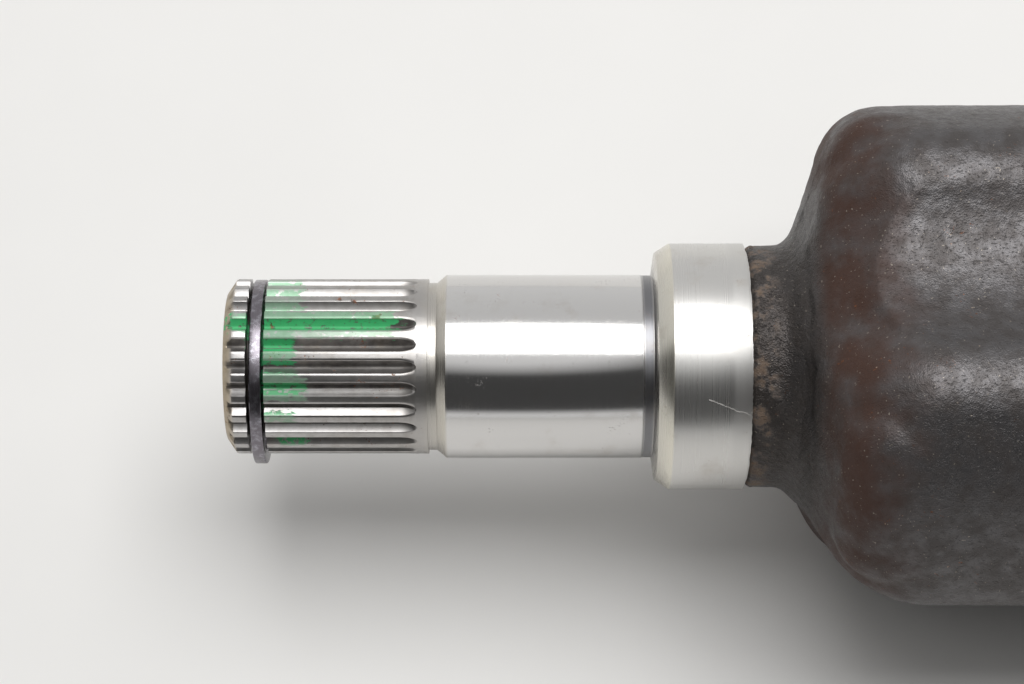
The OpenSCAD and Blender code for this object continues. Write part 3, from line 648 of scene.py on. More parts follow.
# Each daub is a box in station and angle, with edges that the brush left ragged
brushed = add(tree, "VectorMath", {0: place, 1: (0.35, 1.0, 1.0)}, operation="MULTIPLY").outputs[0]
ragged = sway(tree, brushed, 1.1, RAGGED, 6.0, 0.72)
paint = 0.0
for station, angle, half_length, half_angle, thickness in PAINT_DAUBS:
    past_end = calc(tree, "SUBTRACT", away_from(tree, along, station), half_length)
    past_side = calc(tree, "SUBTRACT", away_from(tree, turn, angle), half_angle)
    past = calc(tree, "MAXIMUM", past_end, times(tree, past_side, MM_PER_DEGREE, STEADY_SIDES))
    daub = span(tree, calc(tree, "ADD", past, ragged), 0.15, -0.15, 0.0, thickness)
    paint = calc(tree, "MAXIMUM", paint, daub)
chips = span(tree, blotches(tree, place, 1.1, 5.0, 0.7), 0.56, 0.61, 1.0, 0.1)
worn_tips = span(tree, radius, 13.85, 14.1, 1.0, 0.45)
paint = times(tree, paint, chips, worn_tips, span(tree, worn_and_lit_edge, 0.0, 1.0, 1.0, 0.15))
green = mix(tree, blotches(tree, place, 2.5), PAINT_DARK, PAINT_LIGHT)
colour = mix(tree, paint, colour, green)
print("daubs of paint:", len(PAINT_DAUBS))

# %% Scratch, gloss and relief of the stub
# One long scratch runs slantwise over the collar: its station, its angle and degrees per millimetre
SCRATCH_FROM, SCRATCH_TURN, SCRATCH_SLANT = -0.6, 42.0, 1.1
SCRATCH_BRIGHT = (0.75, 0.73, 0.7)

line = total(tree, times(tree, along, SCRATCH_SLANT), SCRATCH_TURN)
scratch = away_from(tree, calc(tree, "ADD", turn, sway(tree, place, 3.0, 4.0)), line)
scratch = times(tree, span(tree, scratch, 0.3, 0.15), calc(tree, "GREATER_THAN", along, SCRATCH_FROM))
colour = mix(tree, scratch, colour, SCRATCH_BRIGHT)
lines = use_group(tree, turning, Vector=place, Along=along, Pitch=0.16)["Lines"]
streaks = times(tree, calc(tree, "SUBTRACT", lines, 0.5), the_rest(tree, on_spline))
# The painted shade in the grooves, the rust and the paint make the steel rougher and less metallic
coated = calc(tree, "MAXIMUM", times(tree, dark, 0.7), calc(tree, "MAXIMUM", rusty, paint))
soft = total(tree, rough, times(tree, streaks, 0.3), times(tree, stain, 0.08), times(tree, scratch, 0.3))
soft = total(tree, soft, times(tree, coated, 0.22))
feed(tree, surface, Base_Color=colour, Roughness=soft, Metallic=the_rest(tree, coated))
relief = total(tree, times(tree, streaks, 0.3), times(tree, paint, 0.6), times(tree, rusty, -0.5))
raise_bumps(tree, surface, relief, 0.02)
print("stub finish:", len(tree.nodes), "nodes")

# %% [markdown]
# ## Gearbox stub
# The stub is spun from one profile, from the lathe centre in its tip to the back of the collar. The spline
# could be cut with 25 booleans, but it is cleaner to plan the spin for it: twelve steps to each tooth, and
# then every ring of points is pushed in where a groove runs. A table gives the points of one groove, from
# its middle out to the middle of the tooth. The grooves end in round tongues, on the curve of the tool.

# %% Profile of the stub
CENTRE_AT, CENTRE_R = -70.5, 4.0
RING_GROOVE_FROM, RING_GROOVE_TO, RING_GROOVE_R = -73.7, -70.8, 10.7
RUN_OUT, RUN_OUT_RINGS = 2.9, 14
UNDERCUT_FROM, UNDERCUT_TO, UNDERCUT_R = -44.9, -43.5, 13.6
JOURNAL_FROM, JOURNAL_TO, JOURNAL_R = -42.0, -10.5, 14.9
FOOT_TO, FOOT_R = -8.8, 14.8
SHOULDER_AT, SHOULDER_R = -8.3, 18.5
COLLAR_FROM, COLLAR_TO, COLLAR_R = -6.0, 6.0, 20.0
RELIEF_TO, RELIEF_R = 7.5, 19.0


def chamfer_point(share):
    """A point of the tip's chamfer, at a share of its length."""
    return TIP_AT + share * (CHAMFER_AT - TIP_AT), TIP_R + share * (TOOTH_R - TIP_R)


def run_out_station(ring):
    """Rings of the run-out crowd together towards the round end of the tongues."""
    return SPLINE_END - RUN_OUT * (1 - math.sin(math.pi / 2 * ring / RUN_OUT_RINGS))


STUB_PROFILE = [
    (CENTRE_AT, 0),
    (TIP_AT, CENTRE_R),
    *[chamfer_point(share) for share in (0.0, 0.4, 0.7, 1.0)],
    (RING_GROOVE_FROM, TOOTH_R),
    (RING_GROOVE_FROM, RING_GROOVE_R),
    (RING_GROOVE_TO, RING_GROOVE_R),
    (RING_GROOVE_TO, TOOTH_R),
    *[(run_out_station(ring), TOOTH_R) for ring in range(RUN_OUT_RINGS + 1)],
    (UNDERCUT_FROM, TOOTH_R),
    (UNDERCUT_FROM, UNDERCUT_R),
    (UNDERCUT_TO, UNDERCUT_R),
    (JOURNAL_FROM, JOURNAL_R),
    (JOURNAL_TO, JOURNAL_R),
    (JOURNAL_TO, FOOT_R),
    (FOOT_TO, FOOT_R),
    (SHOULDER_AT, SHOULDER_R),
    (COLLAR_FROM, COLLAR_R),
    (COLLAR_TO, COLLAR_R),
    (COLLAR_TO, RELIEF_R),
    (RELIEF_TO, RELIEF_R),
    (RELIEF_TO, 0),
]
# Points that get no rounding: two on the chamfer, and those from the run-out to the undercut's edge
SHARP_POINTS = [3, 4, *range(10, 12 + RUN_OUT_RINGS)]
print("points of the stub's profile:", len(STUB_PROFILE))

# %% Grooves of the spline
STEPS_PER_TOOTH = 12
GROOVE_DEPTH = 1.3
GROOVE_ROOT_HALF, GROOVE_TOP_HALF = 0.30, 1.14
# Half widths that a groove keeps where it runs out
LEAST_ROOT_HALF, LEAST_TOP_HALF = 0.02, 0.04


def groove_left(x):
    """Share of a groove's depth and width that is left at a station of its run-out."""
    into = max(0.0, 1 + (x - SPLINE_END) / RUN_OUT)
    return math.sqrt(max(0.0, 1 - into**2))


def groove_point(index, left):
    """Angle from the groove's middle and depth below the tooth tips, for one of the tooth's steps."""
    depth = GROOVE_DEPTH * left
    root = max(LEAST_ROOT_HALF, GROOVE_ROOT_HALF * left) / (TOOTH_R - GROOVE_DEPTH)
    top = max(LEAST_TOP_HALF, GROOVE_TOP_HALF * left) / TOOTH_R
    pitch = math.pi / TEETH
    table = [
        (0.0, depth),
        (0.4 * root, depth),
        (root, depth * 0.93),
        (top - 0.004 * left, depth * 0.08),
        (top + 0.012 * left, 0.0),
        ((top + pitch) / 2, 0.0),
        (pitch, 0.0),
    ]
    angle, sunk = table[abs(index)]
    return math.copysign(angle, index), sunk


stub = spun(STUB_PROFILE, TEETH * STEPS_PER_TOOTH, ease=0.14, sharp=SHARP_POINTS)
step = 2 * math.pi / (TEETH * STEPS_PER_TOOTH)
for vert in stub.verts:
    x, y, z = vert.co / MM
    r = math.hypot(y, z)
    if r < 1e-4:
        continue
    count = round(math.atan2(-y, z) / step)
    index = (count + STEPS_PER_TOOTH // 2 - 1) % STEPS_PER_TOOTH - STEPS_PER_TOOTH // 2 + 1
    off = index * step
    if x < SPLINE_END:
        off, sunk = groove_point(index, groove_left(x))
        r = min(r, TOOTH_R - sunk)
    angle = math.radians(GROOVE_AT) + (count - index) * step + off
    vert.co = Vector((x, -r * math.sin(angle), r * math.cos(angle))) * MM
gearbox_stub = piece("gearbox_stub", stub, stub_steel, "forged_steel", "inner_joint_housing")
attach(gearbox_stub, "housing")

# %% [markdown]
# ## Snap ring
# A loose ring of square wire sits in the groove near the tip, and hangs a little low because it fits
# loosely. Its section is spun through all but the gap, which is underneath, and a bevel rounds its
# corners. The steel is dark and burnished, with lighter rubbed patches and a few spots of rust.

# %% Spring steel
dark_spring, tree, surface, place = start_material("dark_spring_steel")
along = use_group(tree, polar, Vector=place)["Along"]
worn = span(tree, blotches(tree, place, 1.1, 5.0, 0.65), 0.45, 0.7)
lines = use_group(tree, turning, Vector=place, Along=along, Pitch=0.25)["Lines"]
colour = mix(tree, worn, (0.19, 0.175, 0.195), (0.36, 0.35, 0.385))
spots = use_group(tree, rust, Vector=place, Size=0.5, Amount=0.34)
colour = mix(tree, spots["Mask"], colour, spots["Colour"])
feed(tree, surface, Base_Color=colour, Roughness=span(tree, lines, 0.2, 0.8, 0.2, 0.3))
feed(tree, surface, Metallic=span(tree, spots["Mask"], 0.0, 1.0, 1.0, 0.2))
raise_bumps(tree, surface, worn, 0.006)
print("spring steel:", len(tree.nodes), "nodes")

# %% Snap ring
RING_IN, RING_OUT = 12.8, 15.0
RING_FRONT, RING_BACK = -73.2, -71.25
RING_GAP = math.radians(14)
RING_STEPS = 110
RING_EDGE = 0.22
# Edges of the wire are square, and this is less than a right angle
RIM_ANGLE = 1.0

ring_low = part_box("stub_snap_ring")[0]
ring = bmesh.new()
corners = [(RING_FRONT, RING_IN), (RING_FRONT, RING_OUT), (RING_BACK, RING_OUT), (RING_BACK, RING_IN)]
section = ring.faces.new([ring.verts.new((x * MM, 0, -r * MM)) for x, r in corners])
half_gap = Matrix.Rotation(RING_GAP / 2, 3, "X")
bmesh.ops.rotate(ring, verts=ring.verts, cent=(0, 0, 0), matrix=half_gap)
bmesh.ops.spin(
    ring,
    geom=[section, *section.edges, *section.verts],
    cent=(0, 0, 0),
    axis=(1, 0, 0),
    angle=2 * math.pi - RING_GAP,
    steps=RING_STEPS,
)
bmesh.ops.recalc_face_normals(ring, faces=ring.faces)
rims = [e for e in ring.edges if e.is_manifold and e.calc_face_angle() > RIM_ANGLE]
bmesh.ops.bevel(ring, geom=rims, offset=RING_EDGE * MM, affect="EDGES", segments=3, profile=0.5, material=-1)
bmesh.ops.translate(ring, verts=ring.verts, vec=(0, 0, ring_low.z + RING_OUT * MM))
snap_ring = piece("snap_ring", ring, dark_spring, "spring_steel", "stub_snap_ring")
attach(snap_ring, "housing")

# %% [markdown]
# ## Forged housing
# Behind the collar the forging was never machined. Its copy is cut from the stub and remeshed into even
# cells of under a millimetre. A die leaves full, round shoulders on the lobes, so points that lie inside
# that fuller shape are moved out to it. Smoothing then fills the hollows, as hot steel does: moves outwards
# are kept, and moves inwards are nearly undone. Noise lowers the skin a little at the end, with broad
# lumps, fine scale and a crease round the neck. The colour is grey scale, brown on the end walls.

# %% Scale, rust and neck of the forging
RUST_BROWN, NECK_DARK = (0.052, 0.021, 0.012), (0.03, 0.024, 0.02)
TAN_DARK, TAN_LIGHT = (0.075, 0.04, 0.024), (0.24, 0.175, 0.12)
# Stations between which the finish of the neck gives way to that of the lobes
NECK_FROM, NECK_TO = 13.0, 20.0

scale_skin, tree, surface, place = start_material("forged_scale")
along = use_group(tree, polar, Vector=place)["Along"]
coat = use_group(tree, skin, Vector=place, Grain=0.24)
colour = mix(tree, coat["Shade"], (0.075, 0.068, 0.066), (0.125, 0.12, 0.122))
# Brown rust blooms on the end walls
drift = total(tree, along, sway(tree, place, 7.0, 16.0, 4.0))
end_wall = times(tree, span(tree, drift, 34.0, 20.0), span(tree, along, 15.0, 18.0))
bloom = times(tree, end_wall, span(tree, blotches(tree, place, 10.0, 5.0), 0.25, 0.6), 0.88)
colour = mix(tree, bloom, colour, RUST_BROWN)
# The neck is dark, with tan patches beside the collar
patches = span(tree, blotches(tree, place, 3.5, 6.0, 0.68), 0.46, 0.64)
tan = times(tree, span(tree, along, 11.8, 8.5), patches)
tan_tone = mix(tree, blotches(tree, place, 1.2, 4.0), TAN_DARK, TAN_LIGHT)
colour = mix(tree, times(tree, tan, 0.8), colour, tan_tone)
neck = times(tree, span(tree, along, NECK_TO, NECK_FROM), calc(tree, "SUBTRACT", 0.6, tan))
colour = mix(tree, neck, colour, NECK_DARK)
print("forged finish with rust:", len(tree.nodes), "nodes")

# %% Pits, dust and gloss of the forging
PIT_BLACK, DUST_PALE, CREASE_BLACK = (0.018, 0.016, 0.015), (0.35, 0.31, 0.26), (0.012, 0.01, 0.009)
CREASE_AT = 15.2

freckles = use_group(tree, rust, Vector=place, Size=0.7, Amount=0.375)
colour = mix(tree, times(tree, freckles["Mask"], 0.6), colour, freckles["Colour"])
pitted = span(tree, blotches(tree, place, 12.0), 0.35, 0.6, 0.15, 0.35)
pitted = total(tree, pitted, times(tree, end_wall, -0.15))
colour = mix(tree, times(tree, coat["Pits"], pitted), colour, PIT_BLACK)
# Pale specks of dust, and black painted shade in the crease round the neck
specks = span(tree, blotches(tree, place, 0.35, 0.0), 0.785, 0.82)
colour = mix(tree, times(tree, specks, 0.5), colour, DUST_PALE)
crease = away_from(tree, total(tree, along, sway(tree, place, 5.0, 1.6)), CREASE_AT)
faint = span(tree, blotches(tree, place, 8.0), 0.4, 0.6, 0.1, 0.6)
colour = mix(tree, times(tree, span(tree, crease, 0.45, 0.1), faint), colour, CREASE_BLACK)
coated = calc(tree, "MAXIMUM", bloom, tan)
rough = total(tree, span(tree, coat["Height"], 0.2, 0.9, 0.5, 0.36), times(tree, coated, 0.25))
bare = times(tree, the_rest(tree, coated), span(tree, coat["Shade"], 0.0, 1.0, 0.5, 0.85))
feed(tree, surface, Base_Color=colour, Roughness=rough, Metallic=bare, Specular_IOR_Level=0.25)
# The scale is coarser on the neck, where the forging was squeezed least
coarse = span(tree, along, NECK_TO, NECK_FROM, 1.0, 2.4)
raise_bumps(tree, surface, times(tree, coat["Height"], coarse), 0.10)
print("forged finish:", len(tree.nodes), "nodes")

# %% Even cells of the forging
VOXEL = 0.8
RELAX_STEPS = 2
FORGING_FROM = 6.05
SKIN_FROM, SKIN_R = 7.2, 18.0
BORE_FROM = 33.0
# How much more a wall that faces along the shaft counts than one that faces out from it
END_WEIGHT = 10

rough_copy = solid_copy("inner_joint_housing")
cut_at(rough_copy, FORGING_FROM, "after")
mesh = bpy.data.meshes.new("forging_start")
rough_copy.to_mesh(mesh)
rough_copy.free()
start = bpy.data.objects.new("forging_start", mesh)
scene.collection.objects.link(start)
remesh = start.modifiers.new("even cells", "REMESH")
remesh.mode = "VOXEL"
remesh.voxel_size = VOXEL * MM
relax = start.modifiers.new("relax", "SMOOTH")
relax.factor = 0.5
relax.iterations = RELAX_STEPS
settled = start.evaluated_get(bpy.context.evaluated_depsgraph_get())
forging = bmesh.new()
forging.from_mesh(settled.to_mesh())
settled.to_mesh_clear()
bpy.data.objects.remove(start)
forging.normal_update()


def is_skin(vert, last):
    """Whether a point is on the outside of the forging. Ahead of the bore there is no inside."""
    x, y, z = vert.co / MM
    outwards = vert.normal.y * y + vert.normal.z * z - END_WEIGHT * vert.normal.x
    return SKIN_FROM < x < last and math.hypot(y, z) > SKIN_R and (x < BORE_FROM or outwards > 0)


print("cells:", len(forging.faces))

# %% Shape of the lobes
LOBE_R, CORNER_R, CORNER_AT, CORNER_TURN = 42.5, 12.0, 30.5, math.radians(23.58)
TROUGH_AT, TROUGH_R = 59.07, 26.99
LOBE_STEP = math.radians(120)
WALL_FOOT, NECK_R, WALL_LEAN = 13.5, 19.8, math.radians(18.4)
CREST_ROUND, VALLEY_ROUND = 10.0, 15.0
corner = CORNER_AT * Vector((math.cos(CORNER_TURN), math.sin(CORNER_TURN)))
trough = TROUGH_AT * Vector((math.cos(LOBE_STEP / 2), math.sin(LOBE_STEP / 2)))


def depth_in_outline(r, turn):
    """How deep a point of the section lies inside the three-lobed outline; turn is from a lobe's middle."""
    if turn < CORNER_TURN:
        return LOBE_R - r
    spot = Vector((r * math.cos(turn), r * math.sin(turn)))
    if (trough - corner).cross(spot - corner) > 0:
        return (trough - spot).length - TROUGH_R
    return CORNER_R - (spot - corner).length


def outside_shape(spot):
    """How far a point lies outside the full shape, in millimetres. Inside is negative."""
    r, turn = math.hypot(spot.y, spot.z), math.atan2(-spot.y, -spot.z)
    turn = abs(turn - LOBE_STEP * round(turn / LOBE_STEP))
    round_r = CREST_ROUND + (VALLEY_ROUND - CREST_ROUND) * turn / (LOBE_STEP / 2)
    wall = WALL_FOOT + (r - NECK_R) * math.tan(WALL_LEAN)
    ahead = (wall - spot.x) * math.cos(WALL_LEAN) + round_r
    beside = round_r - depth_in_outline(r, turn)
    if ahead > 0 and beside > 0:
        return math.hypot(ahead, beside) - round_r
    return max(ahead, beside) - round_r


print("lobes:", round(2 * math.pi / LOBE_STEP), "of radius", LOBE_R, "mm")

# %% Full shoulders of the lobes
END_SKIN_TO = 52.0
MOST_MOVES = 6
NEAR_ENOUGH = 0.02
NUDGE = 0.05
LEAST_SLOPE = 0.25

# Each point steps along the slope of the distance until it lies on the full shape
end_skin = [vert for vert in forging.verts if is_skin(vert, END_SKIN_TO)]
moves = 0
for vert in end_skin:
    for _ in range(MOST_MOVES):
        spot = vert.co / MM
        gap = outside_shape(spot)
        if gap > -NEAR_ENOUGH or spot.yz.length < NECK_R:
            break
        slope = Vector([outside_shape(spot + NUDGE * axis) - gap for axis in Matrix.Identity(3)]) / NUDGE
        vert.co -= slope * (gap / max(LEAST_SLOPE, slope.length_squared)) * MM
        moves += 1
forging.normal_update()
print("moves of points to the full shape:", moves)

# %% Filled hollows
FILL_STEPS = 20
FILL_FROM, FILL_FULL = 13.5, 16.0
# Share of a move inwards that is kept
CORNER_SHARE = 0.05

before = [(vert.co.copy(), vert.normal.copy()) for vert in end_skin]
for _ in range(FILL_STEPS):
    bmesh.ops.smooth_vert(
        forging,
        verts=end_skin,
        factor=0.5,
        use_axis_x=True,
        use_axis_y=True,
        use_axis_z=True,
    )
for vert, (old, normal) in zip(end_skin, before):
    change = (vert.co - old).dot(normal)
    share = min(1.0, max(0.0, (old.x / MM - FILL_FROM) / (FILL_FULL - FILL_FROM)))
    vert.co = old + normal * change * (share if change > 0 else CORNER_SHARE)
forging.normal_update()
print("points smoothed:", len(end_skin))

# %% Rough skin
SKIN_TO = 88.0
LUMP_DEPTH, LUMP_SIZE = 0.16, 8.0
GRAIN_DEPTH, GRAIN_SIZE = 0.12, 1.6
CREASE_DEPTH, CREASE_WIDTH = 0.35, 0.6
# The crease wanders this far, in bends of this size, and is deep and shallow in turn
CREASE_SWAY, CREASE_BEND, CREASE_PART = 0.8, 5.0, 9.0


def lumps_at(spot, size):
    """Noise from 0 to 1 whose lumps are about size millimetres across."""
    return 0.5 + 0.5 * noise.noise(spot / size)


sunk = []
for vert in forging.verts:
    if not is_skin(vert, SKIN_TO):
        sunk.append(0.0)
        continue
    spot = vert.co / MM
    off_crease = spot.x + CREASE_SWAY * noise.noise(spot / CREASE_BEND) - CREASE_AT
    crease = CREASE_DEPTH * math.exp(-((off_crease / CREASE_WIDTH) ** 2)) * lumps_at(spot, CREASE_PART)
    sunk.append(LUMP_DEPTH * lumps_at(spot, LUMP_SIZE) + GRAIN_DEPTH * lumps_at(spot, GRAIN_SIZE) + crease)
for vert, depth in zip(forging.verts, sunk):
    vert.co -= vert.normal * depth * MM
forged_housing = piece("forged_housing", forging, scale_skin, "forged_steel", "inner_joint_housing")
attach(forged_housing, "housing")

# %% [markdown]
# ## Rubber boots
# Each boot is moulded rubber with bellows that fold as its joint moves. The wire of the bellows runs from
# crest to valley, its corners are rounded with a vertex bevel, and it is spun. A Solidify modifier gives
# the wall. The inner joint slides and also tilts, and a piece can bend across one joint only. The inner
# joint slides and also tilts, and the inner bellows are cut in two at a valley, into the first folds and
# the rest.

# %% Rubber finish
rubber, tree, surface, place = start_material("boot_rubber")
shaft = use_group(tree, polar, Vector=place)
dust = use_group(tree, grime, Vector=place, Size=11.0, Amount=0.52)["Mask"]
colour = mix(tree, blotches(tree, place, 3.0, 4.0), (0.018, 0.018, 0.019), (0.032, 0.031, 0.031))
colour = mix(tree, times(tree, dust, 0.35), colour, (0.12, 0.10, 0.085))
stipple = blotches(tree, place, 0.35, 2.0)
# A fine parting line from the mould runs along the top and the underside
seam = times(tree, calc(tree, "SINE", calc(tree, "RADIANS", shaft["Turn"])), shaft["Radius"])
seam = span(tree, calc(tree, "ABSOLUTE", seam), 0.5, 0.15)
rough = span(tree, dust, 0.0, 1.0, 0.46, 0.72)
feed(tree, surface, Base_Color=colour, Roughness=rough, Specular_IOR_Level=0.4)
raise_bumps(tree, surface, total(tree, times(tree, stipple, 0.3), seam), 0.08)
print("rubber finish:", len(tree.nodes), "nodes")

# %% Shape of the boots
BOOT_STEPS = 120
BOOT_WALL = 1.3
BOOT_EASE, BOOT_SEGMENTS = 2.6, 5
SWELL = 1.7
SMALL_FOLD = 3.0
BOOT_LARGE_R, BOOT_SMALL_R = 41.45, 15.15


def bellows_wire(large_end, small_end, folds, large_fold):
    """Crests and valleys of a boot, from its large end to its small end."""
    halves = 2 * folds + 1
    large_mid, small_mid = BOOT_LARGE_R - large_fold, BOOT_SMALL_R + SMALL_FOLD
    wire = []
    for k in range(halves + 1):
        t = k / halves
        middle = large_mid + (small_mid - large_mid) * t**SWELL
        fold = large_fold + (SMALL_FOLD - large_fold) * t
        wire.append((large_end + (small_end - large_end) * t, middle + fold * (-1) ** k))
    return wire


def small_collar(start, way):
    """Collar of a boot on the bar, with a bead at each end to keep the band in place."""
    marks = [(1.0, 15.5), (2.1, 15.5), (2.4, 14.6), (9.6, 14.6)]
    marks += [(9.9, 15.5), (11.2, 15.5), (12.0, 14.9), (12.0, 13.35)]
    return [(start + way * x, r) for x, r in marks]


def soft_shell(obj):
    """Wall of a boot, inside its outer face."""
    wall = obj.modifiers.new("wall", "SOLIDIFY")
    wall.thickness = BOOT_WALL * MM
    wall.offset = -1.0
    wall.use_even_offset = False
    return obj


print("shape of the boots ready")

# %% Folds of the inner boot
INNER_LARGE, INNER_SMALL = 106.0, 184.0

inner_wire = bellows_wire(INNER_LARGE, INNER_SMALL, folds=5, large_fold=4.4)
second_valley = inner_wire[3]
slide_end = second_valley[0]
front_half = spun(inner_wire + small_collar(INNER_SMALL, 1), BOOT_STEPS, BOOT_EASE, BOOT_SEGMENTS)
rear_half = front_half.copy()
slice_at(front_half, slide_end, "before")
slice_at(rear_half, slide_end, "after")
front_folds = soft_shell(piece("inner_boot_front_folds", front_half, rubber, "boot_rubber", "inner_boot"))
rear_folds = soft_shell(piece("inner_boot_rear_folds", rear_half, rubber, "boot_rubber", "inner_boot"))
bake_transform(front_folds)
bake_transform(rear_folds)
print("the slide ends at", round(slide_end, 1), "mm")

# %% Folds of the outer boot
OUTER_LARGE, OUTER_SMALL = 351.0, 283.0
BEAD_R = 42.3

outer_wire = bellows_wire(OUTER_LARGE, OUTER_SMALL, folds=4, large_fold=3.0)
seat = [(365.9, 39.2), (365.9, BOOT_LARGE_R), (364.6, BEAD_R), (363.4, BEAD_R)]
seat += [(363.0, BOOT_LARGE_R), (354.0, BOOT_LARGE_R), (353.6, BEAD_R), (352.0, BEAD_R)]
outer_profile = seat + outer_wire + small_collar(OUTER_SMALL, -1)
outer_shape = spun(outer_profile, BOOT_STEPS, BOOT_EASE, BOOT_SEGMENTS)
outer_folds = soft_shell(piece("outer_boot_folds", outer_shape, rubber, "boot_rubber", "outer_boot"))
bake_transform(outer_folds)

# %% Lobed collar of the inner boot
COLLAR_EDGE, COLLAR_SHARP = 0.6, math.radians(50)
# Beads of the collar: name and the stations of both sides
BEADS = [("inner_boot_front_bead", 89.6, 91.6), ("inner_boot_rear_bead", 103.2, 106.6)]
BEAD_FOOT_R, BEAD_SIDE_R, BEAD_TOP_R = 40.9, 42.0, 42.35
BEAD_SLOPE = 0.5

collar = solid_copy("inner_boot")
cut_at(collar, INNER_LARGE, "before", hollow=True)
break_edges(collar, COLLAR_EDGE, COLLAR_SHARP)
boot_collar = piece("inner_boot_collar", collar, rubber, "boot_rubber", "inner_boot")
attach(boot_collar, "housing")
for name, low, high in BEADS:
    marks = [(low, BEAD_FOOT_R), (low, BEAD_SIDE_R), (low + BEAD_SLOPE, BEAD_TOP_R)]
    marks += [(high - BEAD_SLOPE, BEAD_TOP_R), (high, BEAD_SIDE_R), (high, BEAD_FOOT_R), (low, BEAD_FOOT_R)]
    bead = piece(name, spun(marks, BOOT_STEPS, ease=0.2), rubber, "boot_rubber", "inner_boot")
    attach(bead, "housing")

# %% [markdown]
# ## Bands
# A steel band with a crimped ear holds each end of a boot. The ear is pinched with pliers, which draws
# the band tight. The solids have the ears already, so each copy only has its edges rounded, as rolled
# strip has.

# %% Band steel
band_steel, tree, surface, place = start_material("band_steel")
along = use_group(tree, polar, Vector=place)["Along"]
lines = use_group(tree, turning, Vector=place, Along=along, Pitch=0.12)["Lines"]
colour = mix(tree, blotches(tree, place, 5.0, 3.0), (0.50, 0.49, 0.47), (0.64, 0.63, 0.61))
film = use_group(tree, grime, Vector=place, Size=7.0, Amount=0.45)["Mask"]
colour = mix(tree, times(tree, film, 0.45), colour, (0.17, 0.15, 0.13))
feed(tree, surface, Base_Color=colour, Roughness=span(tree, lines, 0.2, 0.8, 0.22, 0.36))
feed(tree, surface, Metallic=span(tree, film, 0.0, 1.0, 1.0, 0.75))
raise_bumps(tree, surface, lines, 0.01)
print("band steel:", len(tree.nodes), "nodes")

# %% Bands
BAND_EDGE = 0.16
# Each band's solid, and the body that it rides on
BANDS = [
    ("inner_boot_large_clamp", "housing"),
    ("inner_boot_small_clamp", "bar"),
    ("outer_boot_large_clamp", "bell"),
    ("outer_boot_small_clamp", "bar"),
]
for node, body in BANDS:
    band = solid_copy(node)
    break_edges(band, BAND_EDGE)
    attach(piece(node + "_band", band, band_steel, "clamp_steel", node), body)

# %% [markdown]
# ## Bar
# The solid bar between the joints was turned, then dipped in thin black paint. Rust comes through the
# paint in freckles, and dust clouds it. Its copy keeps the splines that the boots hide.

# %% Bar
bar_paint, tree, surface, place = start_material("bar_paint")
along = use_group(tree, polar, Vector=place)["Along"]
lines = use_group(tree, turning, Vector=place, Along=along, Pitch=0.5)["Lines"]
freckles = use_group(tree, rust, Vector=place, Size=1.5, Amount=0.43)
colour = mix(tree, blotches(tree, place, 14.0, 5.0), (0.012, 0.012, 0.013), (0.030, 0.029, 0.028))
colour = mix(tree, times(tree, freckles["Mask"], 0.85), colour, freckles["Colour"])
dust = use_group(tree, grime, Vector=place, Size=16.0, Amount=0.5)["Mask"]
colour = mix(tree, times(tree, dust, 0.25), colour, (0.16, 0.13, 0.10))
soft = total(tree, span(tree, lines, 0.2, 0.8, 0.30, 0.40), times(tree, freckles["Mask"], 0.35))
feed(tree, surface, Base_Color=colour, Roughness=soft)
# The paint has filled the turning marks, and is a little uneven itself
relief = total(tree, blotches(tree, place, 2.5), times(tree, freckles["Mask"], 0.5))
raise_bumps(tree, surface, relief, 0.04)
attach(piece("painted_bar", solid_copy("axle_bar"), bar_paint, "bar_paint", "axle_bar"), "bar")

# %% [markdown]
# ## Bell and wheel stub
# The bell of the ball joint is a dark turned forging with a bright splined stub behind it. The solid's copy
# is cut where the thread begins, and the thread is spun by itself: a plain cylinder of many rings, whose
# points are then drawn in along a helix.

# %% Bell finish
BELL_LOW, BELL_HIGH = 348.0, 480.0
BELL_COLOURS = [
    (348.0, (0.10, 0.09, 0.082)),
    (405.2, (0.12, 0.105, 0.095)),
    (405.6, (0.46, 0.45, 0.43)),
    (410.0, (0.55, 0.54, 0.52)),
    (452.0, (0.52, 0.51, 0.49)),
    (476.0, (0.40, 0.385, 0.36)),
]
BELL_ROUGHNESS = [(348.0, 0.48), (405.2, 0.46), (405.6, 0.28), (410.0, 0.22), (452.0, 0.30), (476.0, 0.36)]

bell_steel, tree, surface, place = start_material("bell_steel")
along = use_group(tree, polar, Vector=place)["Along"]
colour = steps_along(tree, along, BELL_LOW, BELL_HIGH, BELL_COLOURS)
rough = steps_along(tree, along, BELL_LOW, BELL_HIGH, BELL_ROUGHNESS)
lines = use_group(tree, turning, Vector=place, Along=along, Pitch=0.3)["Lines"]
coat = use_group(tree, skin, Vector=place, Grain=0.8)
dull = span(tree, along, 406.0, 404.0)
colour = mix(tree, times(tree, coat["Shade"], dull, 0.5), colour, (0.17, 0.15, 0.13))
freckles = use_group(tree, rust, Vector=place, Size=1.2, Amount=0.42)
rusty = times(tree, freckles["Mask"], 0.8)
colour = mix(tree, rusty, colour, freckles["Colour"])
film = use_group(tree, grime, Vector=place, Size=5.0, Amount=0.45)["Mask"]
colour = mix(tree, times(tree, film, 0.35), colour, (0.06, 0.05, 0.042))
streaks = times(tree, calc(tree, "SUBTRACT", lines, 0.5), 0.12)
bare = the_rest(tree, calc(tree, "MAXIMUM", rusty, times(tree, dull, 0.45)))
soft = total(tree, rough, streaks, times(tree, rusty, 0.3))
feed(tree, surface, Base_Color=colour, Roughness=soft, Metallic=bare)
relief = total(tree, times(tree, lines, 0.12), times(tree, coat["Height"], dull))
raise_bumps(tree, surface, relief, 0.05)
print("bell finish:", len(tree.nodes), "nodes")

# %% Bell
THREAD_FROM, THREAD_TO = 452.0, 476.0

bell = solid_copy("outer_joint_bell")
cut_at(bell, THREAD_FROM, "before")
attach(piece("ball_joint_bell", bell, bell_steel, "bell_steel", "outer_joint_bell"), "bell")

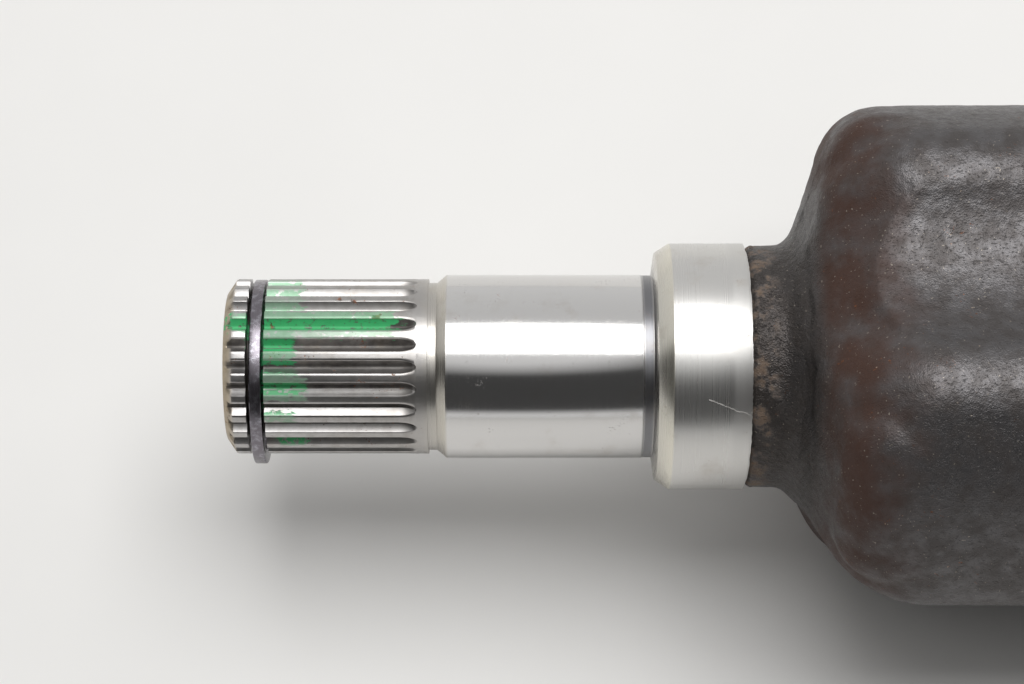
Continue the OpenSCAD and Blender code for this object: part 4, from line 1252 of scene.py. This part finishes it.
# %% Threaded end
THREAD_R, THREAD_PITCH, THREAD_DEPTH = 11.0, 1.5, 0.85
THREAD_STEPS = 72
RING_STEP, THREAD_RINGS = 0.25, 91
END_R, END_CENTRE_R, END_CENTRE_AT = 9.5, 4.0, 469.1
# The thread begins this far behind the spline, and reaches its depth over the second length
THREAD_START, THREAD_RISE = 0.5, 1.5
# Above one, this leaves a flat on the bottom of the thread
ROOT_FLAT = 1.25

rings = [(THREAD_FROM + RING_STEP * k, THREAD_R) for k in range(THREAD_RINGS)]
end = [(THREAD_TO, END_R), (THREAD_TO, END_CENTRE_R), (END_CENTRE_AT, 0)]
thread = spun([(THREAD_FROM, 0), *rings, *end], THREAD_STEPS)
for vert in thread.verts:
    x, y, z = vert.co / MM
    r = math.hypot(y, z)
    if r < END_R + 0.1:
        continue
    turn_share = math.atan2(y, z) / (2 * math.pi)
    phase = (x / THREAD_PITCH - turn_share) % 1.0
    rise = min(1.0, max(0.0, (x - THREAD_FROM - THREAD_START) / THREAD_RISE))
    drawn_in = THREAD_DEPTH * rise * min(1.0, ROOT_FLAT * abs(2 * phase - 1))
    vert.co = Vector((x, y * (r - drawn_in) / r, z * (r - drawn_in) / r)) * MM
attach(piece("hub_nut_thread", thread, bell_steel, "bell_steel", "outer_joint_bell"), "bell")

# %% [markdown]
# ## Inside the joints
# The spider, rollers, needles, rings, race, cage and balls are ground steel with a film of grease. The
# boots hide them, and their solids stay as they are, with one shared finish.

# %% Greased bearing steel
greased, tree, surface, place = start_material("greased_steel")
along = use_group(tree, polar, Vector=place)["Along"]
grease = use_group(tree, grime, Vector=place, Size=6.0, Amount=0.55)["Mask"]
lines = use_group(tree, turning, Vector=place, Along=along, Pitch=0.2)["Lines"]
colour = mix(tree, grease, (0.60, 0.59, 0.57), (0.16, 0.12, 0.07))
feed(tree, surface, Base_Color=colour, Roughness=span(tree, lines, 0.2, 0.8, 0.12, 0.24))
feed(tree, surface, Metallic=span(tree, grease, 0.0, 1.0, 1.0, 0.3))
raise_bumps(tree, surface, grease, 0.05)
inside = [obj for obj in nodes.values() if not obj.hide_render]
for obj in inside:
    obj.data.materials.clear()
    obj.data.materials.append(greased)
print("greased pieces:", len(inside))

# %% [markdown]
# ## Size
# The dressed shaft keeps the size of its solids. Both boxes are printed.

# %% Size of the dressed shaft
low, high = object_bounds()
print("dressed box in mm:", [round(v / MM, 1) for v in high - low])
